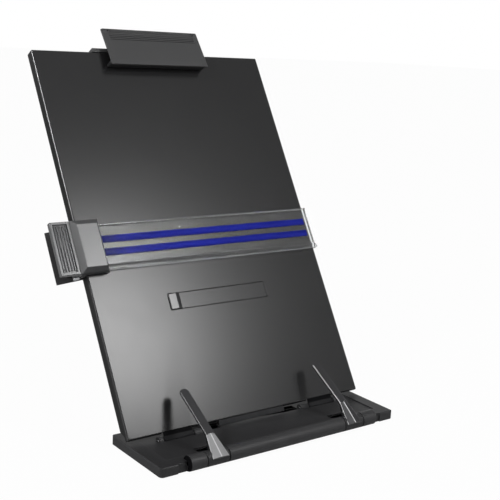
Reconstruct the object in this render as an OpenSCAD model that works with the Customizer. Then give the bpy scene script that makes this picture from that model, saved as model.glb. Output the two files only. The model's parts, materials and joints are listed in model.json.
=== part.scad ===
// Copy holder with a sliding line guide, standing on a desk.
// X runs along the board's width, Y from the front to the back and Z up.
// The origin lies on the desk, on the middle plane, under the board's lower front edge.

/* [Board] */
// Width of the board
board_w = 240; // [220:1:280]
// Height of the board, measured along its slope
board_h = 341; // [310:1:380]
// Thickness of the board's steel sheet
sheet_t = 0.8; // [0.7:0.05:0.9]
// Lean of the board back from upright, in degrees
board_lean = 31.5; // [29:0.5:34]
// Height of the board's lower front edge above the desk
board_rise = 12.8; // [12.6:0.1:13.4]
// Depth of the rims folded back round the sides and the top
rim_depth = 8.75; // [8:0.25:9.5]
// Depth of the rim folded back along the lower edge
lower_rim_depth = 4; // [3:0.25:4.25]
// Height at which the side rims reach their full depth
rim_relief = 9; // [9:0.5:16]
// Outer radius of the folds
fold_r = 1.4; // [1.2:0.1:1.8]

/* [Blank label] */
// Width of the blank label on the board
label_w = 102; // [70:1:130]
// Height of the label
label_h = 13.8; // [9:0.2:16]
// Distance of the label's lower edge from the board's lower edge
label_s = 98.4; // [92:0.4:110]
// Thickness of the label
label_t = 0.5; // [0.4:0.05:0.6]

/* [Board hinge] */
// Distance of each hinge tab's inner end from the middle
tab_inner = 61; // [61:0.5:66]
// Distance of each hinge tab's outer end from the middle
tab_outer = 88; // [82:0.5:89]
// Distance of the hinge axis below the board's lower edge
hinge_drop = 5.2; // [5.1:0.1:5.5]
// Radius of the hinge pins
hinge_pin_r = 1.5; // [1.2:0.1:1.6]
// Width of the hinge boss at the inner side of each tab
inner_boss_w = 8.4; // [6:0.2:8.6]
// Width of the hinge boss at the outer side of each tab
outer_boss_w = 4; // [3:0.2:6]

/* [Base tray] */
// Distance by which the base stops short of each side of the board
base_inset = 0.7; // [-4:0.1:2]
// Distance of the base's front wall in front of the origin
base_front = 47.8; // [47.4:0.1:48.4]
// Distance of the base's rear wall behind the origin
base_back = 27.3; // [26:0.1:34]
// Height of the base above the desk
base_h = 8.5; // [8.3:0.1:9]
// Gap between the base's wall and the desk
base_lift = 0.8; // [0.6:0.1:1]
// Thickness of the base's walls and deck
wall_t = 2; // [1.6:0.1:2.2]
// Radius of the base's upright corners
base_corner_r = 3; // [2:0.5:6]
// Radius of the base's upper edges
base_edge_r = 1.2; // [0.8:0.1:1.5]
// Width of the raised rim beside the deck
deck_rim_w = 12.3; // [8:0.1:14]
// Depth of the deck below that rim
deck_drop = 0.8; // [0.4:0.1:1]
// Distance of the deck's front step behind the base's front wall
deck_step_in = 12.1; // [11:0.1:17]

/* [Front roll] */
// Radius of the roll along the front of the base
roll_r = 6.3; // [6.1:0.1:6.4]
// Distance of the roll's axis behind the base's front wall
roll_in = 1.3; // [1:0.1:1.6]
// Gap between the roll and the desk
roll_lift = 0.6; // [0.6:0.1:1]
// Distance of each end of the roll from the middle
roll_half = 95; // [91:0.5:99]
// Radius of the steel axles that carry the arms
axle_r = 1.5; // [1.2:0.1:2]
// Thickness of the spring washers beside the arm hubs
washer_t = 0.4; // [0.3:0.05:0.6]

/* [Page arms] */
// Distance of each arm hub's inner end from the middle
hub_inner = 60; // [56:0.5:61]
// Length of each arm hub
hub_l = 20; // [17:0.5:21]
// Width of an arm's blade
arm_w = 9; // [7:0.5:10]
// Width of an arm at its foot
arm_foot_w = 15; // [12:0.5:16]
// Thickness of an arm's blade
arm_t = 2.2; // [1.8:0.1:2.8]
// Length of the foot section from the hub to the bend
arm_foot_l = 18.6; // [16:0.2:20]
// Slope of the foot section above level, in degrees
arm_foot_slope = 53.3; // [50:0.5:56]
// Length of the blade from the bend to its tip
arm_blade_l = 43.4; // [36:0.2:46]
// Slope of the blade above level, in degrees
arm_blade_slope = 28.9; // [27:0.5:32]

/* [Steel base plate] */
// Thickness of the steel base plate
plate_t = 1.5; // [1.2:0.1:1.7]
// Margin of the tongue beside the strut that stands on it
tongue_margin = 8; // [5:0.5:14]
// Thickness of the rubber feet below the steel plate
foot_t = 1; // [1:0.1:1.2]
// Radius of the round rubber feet
foot_r = 6; // [4:0.5:6.5]

/* [Support strut] */
// Distance of the strut's pivot from the board's lower edge
pivot_s = 64.5; // [60:0.5:70]
// Distance of the strut's pivot behind the board's face
pivot_back = 8; // [7.6:0.1:8.6]
// Radius of the strut's pivot pin
strut_pin_r = 2; // [1.5:0.1:2.2]
// Width of the strut
strut_w = 44; // [36:1:46]
// Thickness of the strut's plate
strut_t = 1.6; // [1.2:0.1:2]
// Radius of the rubber foot along the strut's end
strut_foot_r = 2.4; // [2.1:0.1:2.4]
// Angle between neighbouring tilt notches, in degrees
notch_step = 5; // [4:0.5:5]
// Thickness of the bracket that carries the strut
bracket_t = 1.2; // [1:0.1:1.6]

/* [Line guide] */
// Distance of the guide's lower end from the board's lower edge
guide_s = 136; // [130:1:170]
// Height of the guide's body along the board
guide_h = 45; // [45:0.5:52]
// Distance of the guide block's face in front of the board
block_out = 12; // [11:0.2:14]
// Width of the block's flat face
block_face_w = 18.4; // [15:0.2:22]
// Width of the thumb pad
pad_w = 17; // [15:0.5:20]
// Distance of the thumb pad's face in front of the board
pad_out = 6.8; // [6.4:0.1:7.4]
// Margin of the clear strip inside each end of the guide's body
strip_margin = 2.5; // [2.5:0.1:4]
// Thickness of the clear strip
strip_t = 1.5; // [1.2:0.1:1.8]
// Distance that the strip reaches past the board's right edge
strip_over = 2; // [1.6:0.1:4]
// Height of each blue stripe
stripe_h = 6; // [3:0.5:7.5]
// Length of the lever's tail beyond the board's edge
tail_reach = 18.6; // [16:0.2:20]
// Distance of the tail's end behind the board's face
tail_back = 19; // [18:0.2:21]
// Radius of the guide's hinge pin
guide_pin_r = 1; // [0.8:0.1:1.2]

/* [Top clip] */
// Width of the clip's front plate
clip_w = 102; // [90:1:118]
// Height of the clip's front plate
clip_h = 34.5; // [32:0.5:38]
// Thickness of the clip's front plate
clip_t = 2.2; // [1.8:0.1:2.4]
// Distance of the clip's face in front of the board
clip_out = 8; // [8:0.1:8.6]
// Distance of the clip's lower edge below the board's top edge
clip_drop = 15.5; // [13:0.5:18]
// Reach of the clip's base to the left of the middle
clip_base_left = 61.5; // [56:0.5:70]
// Reach of the clip's base to the right of the middle
clip_base_right = 51; // [50:0.5:70]
// Height of the clip's base above the board's top edge
clip_base_h = 3.7; // [3.2:0.1:3.8]
// Radius of the clip's hinge pin
clip_pin_r = 1; // [0.8:0.1:1.1]

/* [Fits] */
// Clearance round a turning pin
run_fit = 0.05; // [0.03:0.01:0.08]
// Clearance round a seated piece
snug_fit = 0.02; // [0.01:0.01:0.04]
// Gap between sliding faces
slide_gap = 0.3; // [0.25:0.05:0.4]

/* [Hidden] */
$fn = 48;

// One overrun serves all cuts
over = 1;
// Overlap that fuses two shapes of one piece
fuse = 0.2;

// Hinge of the board, in the board's own frame and then in the part's frame
knuckle_r = hinge_pin_r + run_fit + sheet_t;
hinge_back = knuckle_r;
hinge_y = hinge_back * cos(board_lean) - hinge_drop * sin(board_lean);
hinge_z = board_rise - hinge_drop * cos(board_lean) - hinge_back * sin(board_lean);
boss_r = 3.6;
boss_gap = 1.3;
pin_proud = 0.2;
slot_ahead = 3.5;
slot_behind = 5.2;

// Base tray
base_w = board_w - 2 * base_inset;
deck_step = base_front - deck_step_in;
deck_top = base_h - deck_drop;
deck_under = deck_top - wall_t;
deck_back_rim = 3;
front_notch_w = 8.8;
front_notch_d = 1;
plate_gap = 0.3;
plate_low = foot_t;
plate_top = plate_low + plate_t;
pocket_side = 0.5;
pocket_side_outer = 3;
pocket_inner = hub_inner + pocket_side;
pocket_w = hub_l - pocket_side - pocket_side_outer;
pocket_in = 6.8;
pocket_d = 14;
pocket_front = base_front - pocket_in;
pocket_back = pocket_front - pocket_d;
hole_inner = 33;
hole_w = 15.5;
hole_front = 2;
hole_back = 7;

// Screws that hold the steel plate, and their posts in the tray
base_screw_r = 1.25;
base_head_r = 2.6;
base_head_h = 1;
base_screw_l = 4.2;
post_r = 3.2;
post_side = 22;
post_front_in = 17.8;
post_back_in = 7.3;
post_front = base_front - post_front_in;
post_back = base_back - post_back_in;
post_mid = 42;

// Rubber feet
foot_side = 12;
foot_front_in = 16.8;
foot_back_in = 9.3;
foot_front = base_front - foot_front_in;
foot_back = base_back - foot_back_in;
foot_bar_w = 60;
foot_bar_d = 8;
foot_tail_in = 10;

// Front roll and arms
roll_y = base_front - roll_in;
roll_z = roll_r + roll_lift;
hub_outer = hub_inner + hub_l;
seam = washer_t + slide_gap;
hub_clear = 0.4;
washer_r = 4.4;
axle_seat = 11.5;
plug_l = 1.5;
arm_edge = 1;
arm_mid = hub_inner + arm_edge + arm_foot_w / 2;
arm_front_shares = [-0.73, 0.35];
arm_rear_shares = [0.48, 0.79];
arm_foot_start = roll_r * arm_front_shares;
arm_foot_rear = roll_r * arm_rear_shares;
rib_cut_w = 0.8;
rib_cut_d = 0.5;
rib_cut_x = 2;
rib_cut_end = 1.5;
bend_y = arm_foot_start[0] + arm_foot_l * cos(arm_foot_slope);
bend_z = arm_foot_start[1] + arm_foot_l * sin(arm_foot_slope);

// Strut: its pivot, the hinge and its foot make an isosceles triangle
strut_l = norm([pivot_s + hinge_drop, pivot_back - hinge_back]);
pivot_angle = atan2(pivot_back - hinge_back, pivot_s + hinge_drop);
strut_slope = 90 - board_lean - pivot_angle;
pivot_y = hinge_y + strut_l * cos(strut_slope);
pivot_z = hinge_z + strut_l * sin(strut_slope);
notches_upright = 3;
notches_back = 4;
rack_side = 3;
rack_w = strut_w + 2 * rack_side;
tongue_w = strut_w + 2 * tongue_margin;
rack_margin = 6;
rack_top = hinge_z - strut_foot_r - slide_gap;
rack_peg_r = 1.5;
rack_peg_x = rack_w / 2 - rack_margin;
notch_depth = 0.5;
strut_foot_grip = 1.2;
strut_eye_t = 1.5;
strut_knuckle_r = strut_pin_r + run_fit + strut_eye_t;
strut_rib_w = 3;
strut_rib_h = 0.8;
strut_rib_in = 10;
bracket_foot = 12;
bracket_side_gap = 0.4;
bracket_flange = 6;
bracket_eye = 2;
strut_head_r = 3.2;
strut_head_t = 1;

// Line guide, measured from the board's left edge
guide_pin_x = -7.9;
guide_pin_z = -3.3;
pad_right = -8;
pad_low = 2.6;
bevel_low = 6;
bevel_w = 4;
slope_w = 5.6;
slope_low = 2.6;
chamfer_low = 3.4;
chamfer_high = 4.7;
chamfer_drop = 4.5;
block_rest = 1;
runner_w = 3.2;
runner_low = 5;
ear_r = 3;
ear_w = 4.2;
grip_border = 2.2;
grip_floor = 1.2;
grip_low = pad_low + grip_floor;
grip_drop = 0.5;
grip_rib_count = 5;
grip_rib_share = 0.55;
grip_rib_h = 0.9;
strip_lift = 0.5;
strip_low = strip_margin;
strip_h = guide_h - 2 * strip_margin;
strip_left = 8;
lip_w = 2.2;
lip_h = 1.5;
lip_bevel = 2.6;
upper_lip_w = 1.2;
upper_lip_h = 0.6;
hook_t = 1.6;
hook_back = 2;
stripe_t = 0.15;
stripe_low_share = 0.3125;
stripe_pitch_share = 0.2825;
stripe_low = strip_h * stripe_low_share;
stripe_pitch = strip_h * stripe_pitch_share;
stripe_end = 7;
strip_screw_r = 1;
strip_screw_l = 6;
strip_head_r = 2.2;
strip_head_t = 0.8;
strip_screw_in = 4.2;
felt_t = 0.7;
felt_left = 0.6;
felt_right = 7;
felt_end = 3;

// Guide lever
lever_felt_t = 0.6;
lever_t = 2.2;
tail_bevel = 0.9;
jaw_z = -(rim_depth + slide_gap + lever_felt_t);
jaw_t = 2;
hook_gap = 1.8;
hook_w = 4.9;
hook_up = 4.65;
jaw_left = 1.5;
jaw_step = 3;
lever_knuckle_r = 2.8;
web_gap = 0.3;
web_w = 9;

// Springs
guide_wire_r = 0.45;
guide_coil_r = 2.3;
guide_coil_turns = 6;
guide_coil_start = 72;
guide_coil_end = -30;
guide_leg_a = 10.4;
guide_leg_b = 10.2;
clip_wire_r = 0.4;
clip_coil_r = 1.9;
clip_coil_turns = 7;
clip_leg_a = 7.5;
clip_leg_b = 7;
clip_coil_gap = 1;
coil_gap = 0.6;
rings_a_turn = 8;
wire_sides = 6;

// Top clip, measured from the board's top edge
clip_knuckle_r = 2.6;
clip_pin_up = clip_base_h + clip_knuckle_r;
clip_pin_out = clip_out - clip_t - clip_knuckle_r - slide_gap;
clip_ear_x = 40;
clip_ear_w = 4;
clip_knuckle_w = 7;
clip_wall_t = 2.1;
clip_wall_h = 15;
clip_front_flush = 0.2;
clip_lip_h = 3;
clip_pad_t = 0.8;
clip_pad_inset = 0.4;
clip_bevel = 1.6;
clip_screw_x = 46;
clip_screw_r = 1.25;
clip_screw_l = 3.2;
clip_head_r = 2.4;
clip_head_t = 1.4;
clip_screw_out = 4.4;
groove_count = 6;
groove_h = 0.7;
groove_d = 0.5;
groove_pitch = 1.9;
groove_top = 1.8;
groove_side = 6;

// Helpers
function foot_at(lean) = hinge_y + 2 * strut_l * cos(90 - lean - pivot_angle);
tongue_end = foot_at(board_lean + notches_back * notch_step) + 2 * rack_margin;

module box(low, high) {
    translate(low)
        cube(high - low);
}

// Extrudes an outline of (y, z) points along X
module xbar(x0, x1) {
    translate([x0, 0, 0])
        rotate([90, 0, 90])
            linear_extrude(x1 - x0)
                children();
}

// Extrudes an outline of (x, z) points along Y
module ybar(y0, y1) {
    translate([0, y1, 0])
        rotate([90, 0, 0])
            linear_extrude(y1 - y0)
                children();
}

module xrod(x0, x1, r) {
    translate([x0, 0, 0])
        rotate([0, 90, 0])
            cylinder(h = x1 - x0, r = r);
}

module yrod(y0, y1, r) {
    translate([0, y0, 0])
        rotate([-90, 0, 0])
            cylinder(h = y1 - y0, r = r);
}

module both_sides() {
    children();
    mirror([1, 0, 0])
        children();
}

// The board's frame: X along its width, Y up its slope, Z out of its face
module on_board() {
    translate([0, 0, board_rise])
        rotate([90 - board_lean, 0, 0])
            children();
}

// The guide's frame: X from the board's left edge, Y from the guide's lower end
module on_guide() {
    on_board()
        translate([-board_w / 2, guide_s, 0])
            children();
}

// The clip's frame: Y from the board's top edge
module on_clip() {
    on_board()
        translate([0, board_h, 0])
            children();
}

module at_hinge() {
    translate([0, hinge_y, hinge_z])
        children();
}

module at_roll() {
    translate([0, -roll_y, roll_z])
        children();
}

// The strut's frame: Y from its pivot to its foot, Z away from the board
module at_strut() {
    translate([0, pivot_y, pivot_z])
        rotate([-strut_slope, 0, 0])
            children();
}

// A wire or cord of one radius swept along a list of points
function unit(v) = v / norm(v);
function along(path, i) =
    unit(path[min(i + 1, len(path) - 1)] - path[max(i - 1, 0)]);
function square_to(v, t) = unit(v - (v * t) * t);
function frames(path, first) = [
    for (i = 0, n = square_to(first, along(path, 0));
         i < len(path);
         i = i + 1, n = i < len(path) ? square_to(n, along(path, i)) : n) n
];
function least_gap(path, r, skip) =
    min([for (i = [0 : len(path) - skip - 1], j = [i + skip : len(path) - 1])
        norm(path[i] - path[j])]) - 2 * r;

module wire(path, r, first) {
    normals = frames(path, first);
    rings = [
        for (i = [0 : len(path) - 1], k = [0 : wire_sides - 1])
            let (t = along(path, i), n = normals[i], b = cross(t, n), a = 360 * k / wire_sides)
                path[i] + r * (cos(a) * n + sin(a) * b)
    ];
    sides = [
        for (i = [0 : len(path) - 2], k = [0 : wire_sides - 1])
            let (a = i * wire_sides + k, b = i * wire_sides + (k + 1) % wire_sides)
                [a, a + wire_sides, b + wire_sides, b]
    ];
    halves = [for (f = sides, h = [0, 1]) h == 0 ? [f[0], f[1], f[2]] : [f[0], f[2], f[3]]];
    last = (len(path) - 1) * wire_sides;
    ends = [
        for (k = [1 : wire_sides - 2], e = [0, 1])
            e == 0 ? [0, k, k + 1] : [last, last + k + 1, last + k]
    ];
    polyhedron(points = rings, faces = concat(halves, ends));
}

// Clockwise torsion spring in the plane of its turns, rising along the third axis
function coil_path(r, rise, turns, start, end, leg_a, leg_b) =
    let (
        sweep = 360 * turns + start - end,
        steps = ceil(rings_a_turn * sweep / 360),
        spot = function (a, h) [r * cos(a), h, r * sin(a)],
        way = function (a) [sin(a), 0, -cos(a)],
        first = spot(start, 0),
        last = spot(start - sweep, rise)
    )
    concat(
        [first - leg_a * way(start), first - leg_a / 2 * way(start)],
        [for (i = [0 : steps]) spot(start - sweep * i / steps, rise * i / steps)],
        [last + leg_b / 2 * way(end), last + leg_b * way(end)]
    );

// Base

module rounded_plan(x0, x1, y0, y1, r) {
    translate([x0 + r, y0])
        square([x1 - x0 - 2 * r, y1 - y0]);
    translate([x0, y0 + r])
        square([x1 - x0, y1 - y0 - 2 * r]);
    for (x = [x0 + r, x1 - r], y = [y0 + r, y1 - r])
        translate([x, y])
            circle(r);
}

// Side view with rounded upper corners
module rounded_top(a0, a1, low, high, r) {
    translate([a0, low])
        square([a1 - a0, high - r - low]);
    translate([a0 + r, low])
        square([a1 - a0 - 2 * r, high - low]);
    for (a = [a0 + r, a1 - r])
        translate([a, high - r])
            circle(r);
}

module tray_block() {
    half = base_w / 2;
    intersection() {
        translate([0, 0, base_lift])
            linear_extrude(base_h)
                rounded_plan(-half, half, -base_front, base_back, base_corner_r);
        xbar(-half, half)
            rounded_top(-base_front, base_back, base_lift, base_h, base_edge_r);
        ybar(-base_front, base_back)
            rounded_top(-half, half, base_lift, base_h, base_edge_r);
    }
}

module tray_hollow() {
    half = base_w / 2 - wall_t;
    translate([0, 0, base_lift - over])
        linear_extrude(deck_under - base_lift + over)
            rounded_plan(-half, half, wall_t - base_front, base_back - wall_t, base_corner_r / 2);
}

module deck_recess() {
    half = base_w / 2 - deck_rim_w;
    box([-half, -deck_step, deck_top], [half, base_back - deck_back_rim, base_h + over]);
}

module screw_spots() {
    for (y = [-post_front, post_back])
        both_sides()
            translate([base_w / 2 - post_side, y, 0])
                children();
    both_sides()
        translate([post_mid, post_back, 0])
            children();
}

module hinge_boss(x0, x1) {
    at_hinge()
        xrod(x0, x1, boss_r);
    box([x0, hinge_y - boss_r, deck_under], [x1, hinge_y + boss_r, hinge_z]);
}

inner_boss_end = tab_inner - boss_gap;
outer_boss_start = tab_outer + boss_gap;
pin_inner = inner_boss_end - inner_boss_w;
pin_outer = outer_boss_start + outer_boss_w;

module base_tray() {
    color("#26272a")
        difference() {
            union() {
                difference() {
                    tray_block();
                    tray_hollow();
                    deck_recess();
                    both_sides() {
                        box(
                            [tab_inner - boss_gap, hinge_y - slot_ahead, deck_under - over],
                            [outer_boss_start, hinge_y + slot_behind, base_h + over]
                        );
                        box(
                            [pocket_inner, -pocket_front, deck_under - over],
                            [pocket_inner + pocket_w, -pocket_back, base_h + over]
                        );
                        box(
                            [hole_inner, -hole_front, deck_under - over],
                            [hole_inner + hole_w, hole_back, base_h + over]
                        );
                        box(
                            [roll_half, -base_front - over, base_lift - over],
                            [roll_half + front_notch_w, front_notch_d - base_front, base_h + over]
                        );
                    }
                }
                at_roll()
                    xrod(-roll_half, roll_half, roll_r);
                both_sides() {
                    hinge_boss(pin_inner, inner_boss_end);
                    hinge_boss(outer_boss_start, pin_outer);
                }
                screw_spots()
                    translate([0, 0, plate_top])
                        cylinder(h = deck_under + fuse - plate_top, r = post_r);
            }
            both_sides() {
                at_roll() {
                    xrod(hub_inner - seam, hub_outer + seam, roll_r + hub_clear);
                    xrod(hub_inner - seam - axle_seat, roll_half + over, axle_r + snug_fit);
                }
                at_hinge()
                    xrod(pin_inner - over, pin_outer + over, hinge_pin_r + snug_fit);
            }
            screw_spots()
                cylinder(h = plate_top + base_screw_l, r = base_screw_r + snug_fit);
            box(
                [-tongue_w / 2 - plate_gap, base_back - wall_t - over, base_lift - over],
                [tongue_w / 2 + plate_gap, base_back + over, plate_top + plate_gap]
            );
        }
}

module base_plate() {
    half = base_w / 2 - wall_t - plate_gap;
    front = base_front - wall_t - plate_gap - (roll_r + over);
    color("#8d9094")
        difference() {
            translate([0, 0, plate_low])
                linear_extrude(plate_t) {
                    rounded_plan(
                        -half, half, -front, base_back - wall_t - plate_gap, base_corner_r / 2
                    );
                    rounded_plan(
                        -tongue_w / 2, tongue_w / 2, 0, tongue_end, base_corner_r
                    );
                }
            screw_spots() {
                translate([0, 0, plate_low - over])
                    cylinder(h = plate_t + 2 * over, r = base_screw_r + snug_fit);
                translate([0, 0, plate_low - over])
                    cylinder(h = base_head_h + over, r = base_head_r + snug_fit);
            }
            rack_spots()
                translate([0, 0, plate_low - over])
                    cylinder(h = plate_t + 2 * over, r = rack_peg_r + snug_fit);
        }
}

module base_screws() {
    color("#b9bcc0")
        screw_spots()
            translate([0, 0, plate_low]) {
                cylinder(h = base_head_h, r = base_head_r);
                cylinder(h = plate_t + base_screw_l - over, r = base_screw_r);
            }
}

module rubber_feet() {
    color("#1a1a1a") {
        for (y = [-foot_front, foot_back])
            both_sides()
                translate([base_w / 2 - foot_side, y, 0])
                    cylinder(h = foot_t, r = foot_r);
        box([-foot_bar_w / 2, -foot_bar_d / 2, 0], [foot_bar_w / 2, foot_bar_d / 2, foot_t]);
        box(
            [foot_tail_in - tongue_w / 2, tongue_end - foot_bar_d - rack_margin / 2, 0],
            [tongue_w / 2 - foot_tail_in, tongue_end - rack_margin / 2, foot_t]
        );
    }
}

rack_start = foot_at(board_lean - notches_upright * notch_step) - rack_margin;
rack_end = foot_at(board_lean + notches_back * notch_step) + rack_margin;

module rack_spots() {
    for (y = [rack_start + rack_margin, rack_end - rack_margin])
        both_sides()
            translate([rack_peg_x, y, 0])
                children();
}

module tilt_rack() {
    color("#2e3033")
        difference() {
            union() {
                box([-rack_w / 2, rack_start, plate_top], [rack_w / 2, rack_end, rack_top]);
                rack_spots()
                    translate([0, 0, plate_low])
                        cylinder(h = plate_t + fuse, r = rack_peg_r);
            }
            for (i = [-notches_upright : notches_back])
                translate([0, foot_at(board_lean + i * notch_step), hinge_z - notch_depth])
                    xrod(-rack_w / 2 - over, rack_w / 2 + over, strut_foot_r + slide_gap);
        }
}

// Arms and their axles

module arm_axles() {
    color("#c4c6c9")
        both_sides()
            at_roll()
                xrod(hub_inner - seam - axle_seat + plate_gap, roll_half - plug_l, axle_r);
}

module axle_plugs() {
    color("#26272a")
        both_sides()
            at_roll()
                xrod(roll_half - plug_l, roll_half, axle_r);
}

module spring_washers() {
    color("#a9abae")
        both_sides()
            at_roll()
                for (x = [hub_inner - seam, hub_outer + slide_gap])
                    difference() {
                        xrod(x, x + washer_t, washer_r);
                        xrod(x - over, x + washer_t + over, axle_r + snug_fit);
                    }
}

// Outline of the foot section in the plane of its face, narrowing towards the bend
module foot_plan() {
    polygon([
        [-arm_foot_w / 2, -roll_r],
        [arm_foot_w / 2, -roll_r],
        [arm_foot_w / 2, 0],
        [arm_w / 2, arm_foot_l],
        [arm_w / 2, arm_foot_l + arm_t],
        [-arm_w / 2, arm_foot_l + arm_t],
        [-arm_w / 2, arm_foot_l],
        [-arm_foot_w / 2, 0]
    ]);
}

module page_arm() {
    at_roll()
        difference() {
            union() {
                xrod(hub_inner, hub_outer, roll_r);
                translate([arm_mid, 0, 0]) {
                    intersection() {
                        xbar(-arm_foot_w / 2, arm_foot_w / 2)
                            polygon([
                                arm_foot_start,
                                [bend_y, bend_z],
                                [
                                    bend_y + arm_t * sin(arm_blade_slope),
                                    bend_z - arm_t * cos(arm_blade_slope)
                                ],
                                arm_foot_rear,
                                [0, 0]
                            ]);
                        translate([0, arm_foot_start[0], arm_foot_start[1]])
                            rotate([arm_foot_slope, 0, 0])
                                translate([0, 0, -2 * roll_r])
                                    linear_extrude(4 * roll_r)
                                        foot_plan();
                    }
                    translate([0, bend_y, bend_z])
                        rotate([arm_blade_slope, 0, 0])
                            translate([0, 0, -arm_t])
                                linear_extrude(arm_t) {
                                    translate([-arm_w / 2, -fuse])
                                        square([arm_w, arm_blade_l - arm_w / 2 + fuse]);
                                    translate([0, arm_blade_l - arm_w / 2])
                                        circle(arm_w / 2);
                                }
                }
            }
            xrod(hub_inner - over, hub_outer + over, axle_r + run_fit);
            translate([arm_mid, arm_foot_start[0], arm_foot_start[1]])
                rotate([arm_foot_slope, 0, 0])
                    for (x = [-rib_cut_x, rib_cut_x])
                        box(
                            [x - rib_cut_w / 2, roll_r / 2, -rib_cut_d],
                            [x + rib_cut_w / 2, arm_foot_l - rib_cut_end, over]
                        );
        }
}

module page_arm_left() {
    color("#3b3c3f")
        mirror([1, 0, 0])
            page_arm();
}

module page_arm_right() {
    color("#3b3c3f")
        page_arm();
}

module hinge_pins() {
    color("#c4c6c9")
        both_sides()
            at_hinge()
                xrod(pin_inner, pin_outer + pin_proud, hinge_pin_r);
}

// Board

// A sheet folded back round its edge, seen along the fold
module fold_outline(a0, a1, depth, r) {
    translate([a0, -depth])
        square([a1 - a0, depth - r]);
    translate([a0 + r, -depth])
        square([a1 - a0 - 2 * r, depth]);
    for (a = [a0 + r, a1 - r])
        translate([a, -r])
            circle(r);
}

module pan_solid(inset, depth, r) {
    half = board_w / 2 - inset;
    intersection() {
        ybar(inset, board_h - inset)
            translate([0, -inset])
                fold_outline(-half, half, depth, r);
        xbar(-half, half)
            translate([0, -inset])
                fold_outline(inset, board_h - inset, depth, r);
    }
}

module board_panel() {
    half = board_w / 2;
    color("#3c3d40")
        on_board()
            difference() {
                union() {
                    difference() {
                        pan_solid(0, rim_depth, fold_r);
                        pan_solid(sheet_t, rim_depth, fold_r - sheet_t);
                        xbar(-half - over, half + over)
                            polygon([
                                [-over, -lower_rim_depth],
                                [lower_rim_depth, -lower_rim_depth],
                                [rim_relief, -rim_depth],
                                [rim_relief, -rim_depth - over],
                                [-over, -rim_depth - over]
                            ]);
                        both_sides()
                            box(
                                [tab_inner - boss_gap, -over, -rim_depth],
                                [outer_boss_start, fold_r + over, -sheet_t]
                            );
                        both_sides()
                            box(
                                [tab_inner, -over, -fold_r - over],
                                [tab_outer, fold_r, over]
                            );
                    }
                    both_sides() {
                        box([tab_inner, -hinge_drop, -sheet_t], [tab_outer, fold_r + fuse, 0]);
                        translate([0, -hinge_drop, -hinge_back])
                            xrod(tab_inner, tab_outer, knuckle_r);
                    }
                    box(
                        [-label_w / 2 - sheet_t, label_s - sheet_t, -label_t - sheet_t],
                        [label_w / 2 + sheet_t, label_s + label_h + sheet_t, -sheet_t + fuse / 2]
                    );
                }
                both_sides()
                    translate([0, -hinge_drop, -hinge_back])
                        xrod(tab_inner - over, tab_outer + over, hinge_pin_r + run_fit);
                box(
                    [-label_w / 2 - snug_fit, label_s - snug_fit, -label_t],
                    [label_w / 2 + snug_fit, label_s + label_h + snug_fit, over]
                );
                both_sides()
                    translate([clip_screw_x, 0, -clip_screw_out])
                        yrod(board_h - sheet_t - over, board_h + over, clip_screw_r + snug_fit);
            }
}

module blank_label() {
    color("#2b2c2f")
        on_board()
            box(
                [-label_w / 2, label_s, -label_t],
                [label_w / 2, label_s + label_h, 0]
            );
}

// Strut behind the board

bracket_inner = strut_w / 2 + bracket_side_gap;
bracket_outer = bracket_inner + bracket_t;

module strut_bracket() {
    low = pivot_s - bracket_foot;
    high = pivot_s + bracket_foot;
    eye_r = strut_pin_r + bracket_eye;
    color("#77797d")
        on_board()
            difference() {
                union() {
                    box(
                        [-bracket_outer - bracket_flange, low, -sheet_t - bracket_t],
                        [bracket_outer + bracket_flange, high, -sheet_t]
                    );
                    both_sides() {
                        xbar(bracket_inner, bracket_outer)
                            polygon([
                                [low, -sheet_t - fuse],
                                [high, -sheet_t - fuse],
                                [pivot_s + eye_r, -pivot_back],
                                [pivot_s - eye_r, -pivot_back]
                            ]);
                        translate([0, pivot_s, -pivot_back])
                            xrod(bracket_inner, bracket_outer, eye_r);
                    }
                }
                translate([0, pivot_s, -pivot_back])
                    xrod(-bracket_outer - over, bracket_outer + over, strut_pin_r + snug_fit);
            }
}

module strut_pin() {
    color("#c4c6c9")
        on_board()
            translate([0, pivot_s, -pivot_back]) {
                xrod(-bracket_outer - slide_gap, bracket_outer + slide_gap, strut_pin_r);
                both_sides()
                    xrod(
                        bracket_outer + snug_fit,
                        bracket_outer + snug_fit + strut_head_t,
                        strut_head_r
                    );
            }
}

module support_strut() {
    color("#55575a")
        at_strut()
            difference() {
                union() {
                    xrod(-strut_w / 2, strut_w / 2, strut_knuckle_r);
                    box(
                        [-strut_w / 2, strut_pin_r, -strut_t / 2],
                        [strut_w / 2, strut_l + strut_foot_grip, strut_t / 2]
                    );
                    both_sides()
                        box(
                            [
                                strut_w / 2 - strut_rib_in,
                                strut_pin_r,
                                -strut_t / 2 - strut_rib_h
                            ],
                            [
                                strut_w / 2 - strut_rib_in + strut_rib_w,
                                strut_l - 3 * strut_foot_r,
                                strut_t / 2 + strut_rib_h
                            ]
                        );
                }
                xrod(-strut_w / 2 - over, strut_w / 2 + over, strut_pin_r + run_fit);
            }
}

module strut_foot() {
    color("#1a1a1a")
        at_strut()
            translate([0, strut_l, 0])
                difference() {
                    xrod(-strut_w / 2, strut_w / 2, strut_foot_r);
                    box(
                        [-strut_w / 2 - over, -strut_foot_r - over, -strut_t / 2 - snug_fit],
                        [strut_w / 2 + over, strut_foot_grip + snug_fit, strut_t / 2 + snug_fit]
                    );
                }
}

// Line guide

face_left = -bevel_w;
face_right = face_left + block_face_w;
block_right = face_right + slope_w;
pad_left = pad_right - pad_w;

module guide_ear(y0, y1) {
    ybar(y0, y1)
        translate([guide_pin_x, guide_pin_z])
            circle(ear_r);
    ybar(y0, y1)
        polygon([
            [guide_pin_x - ear_r, guide_pin_z],
            [guide_pin_x + ear_r, guide_pin_z],
            [guide_pin_x + ear_r, pad_low + fuse],
            [guide_pin_x - ear_r, pad_low + fuse]
        ]);
}

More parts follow.
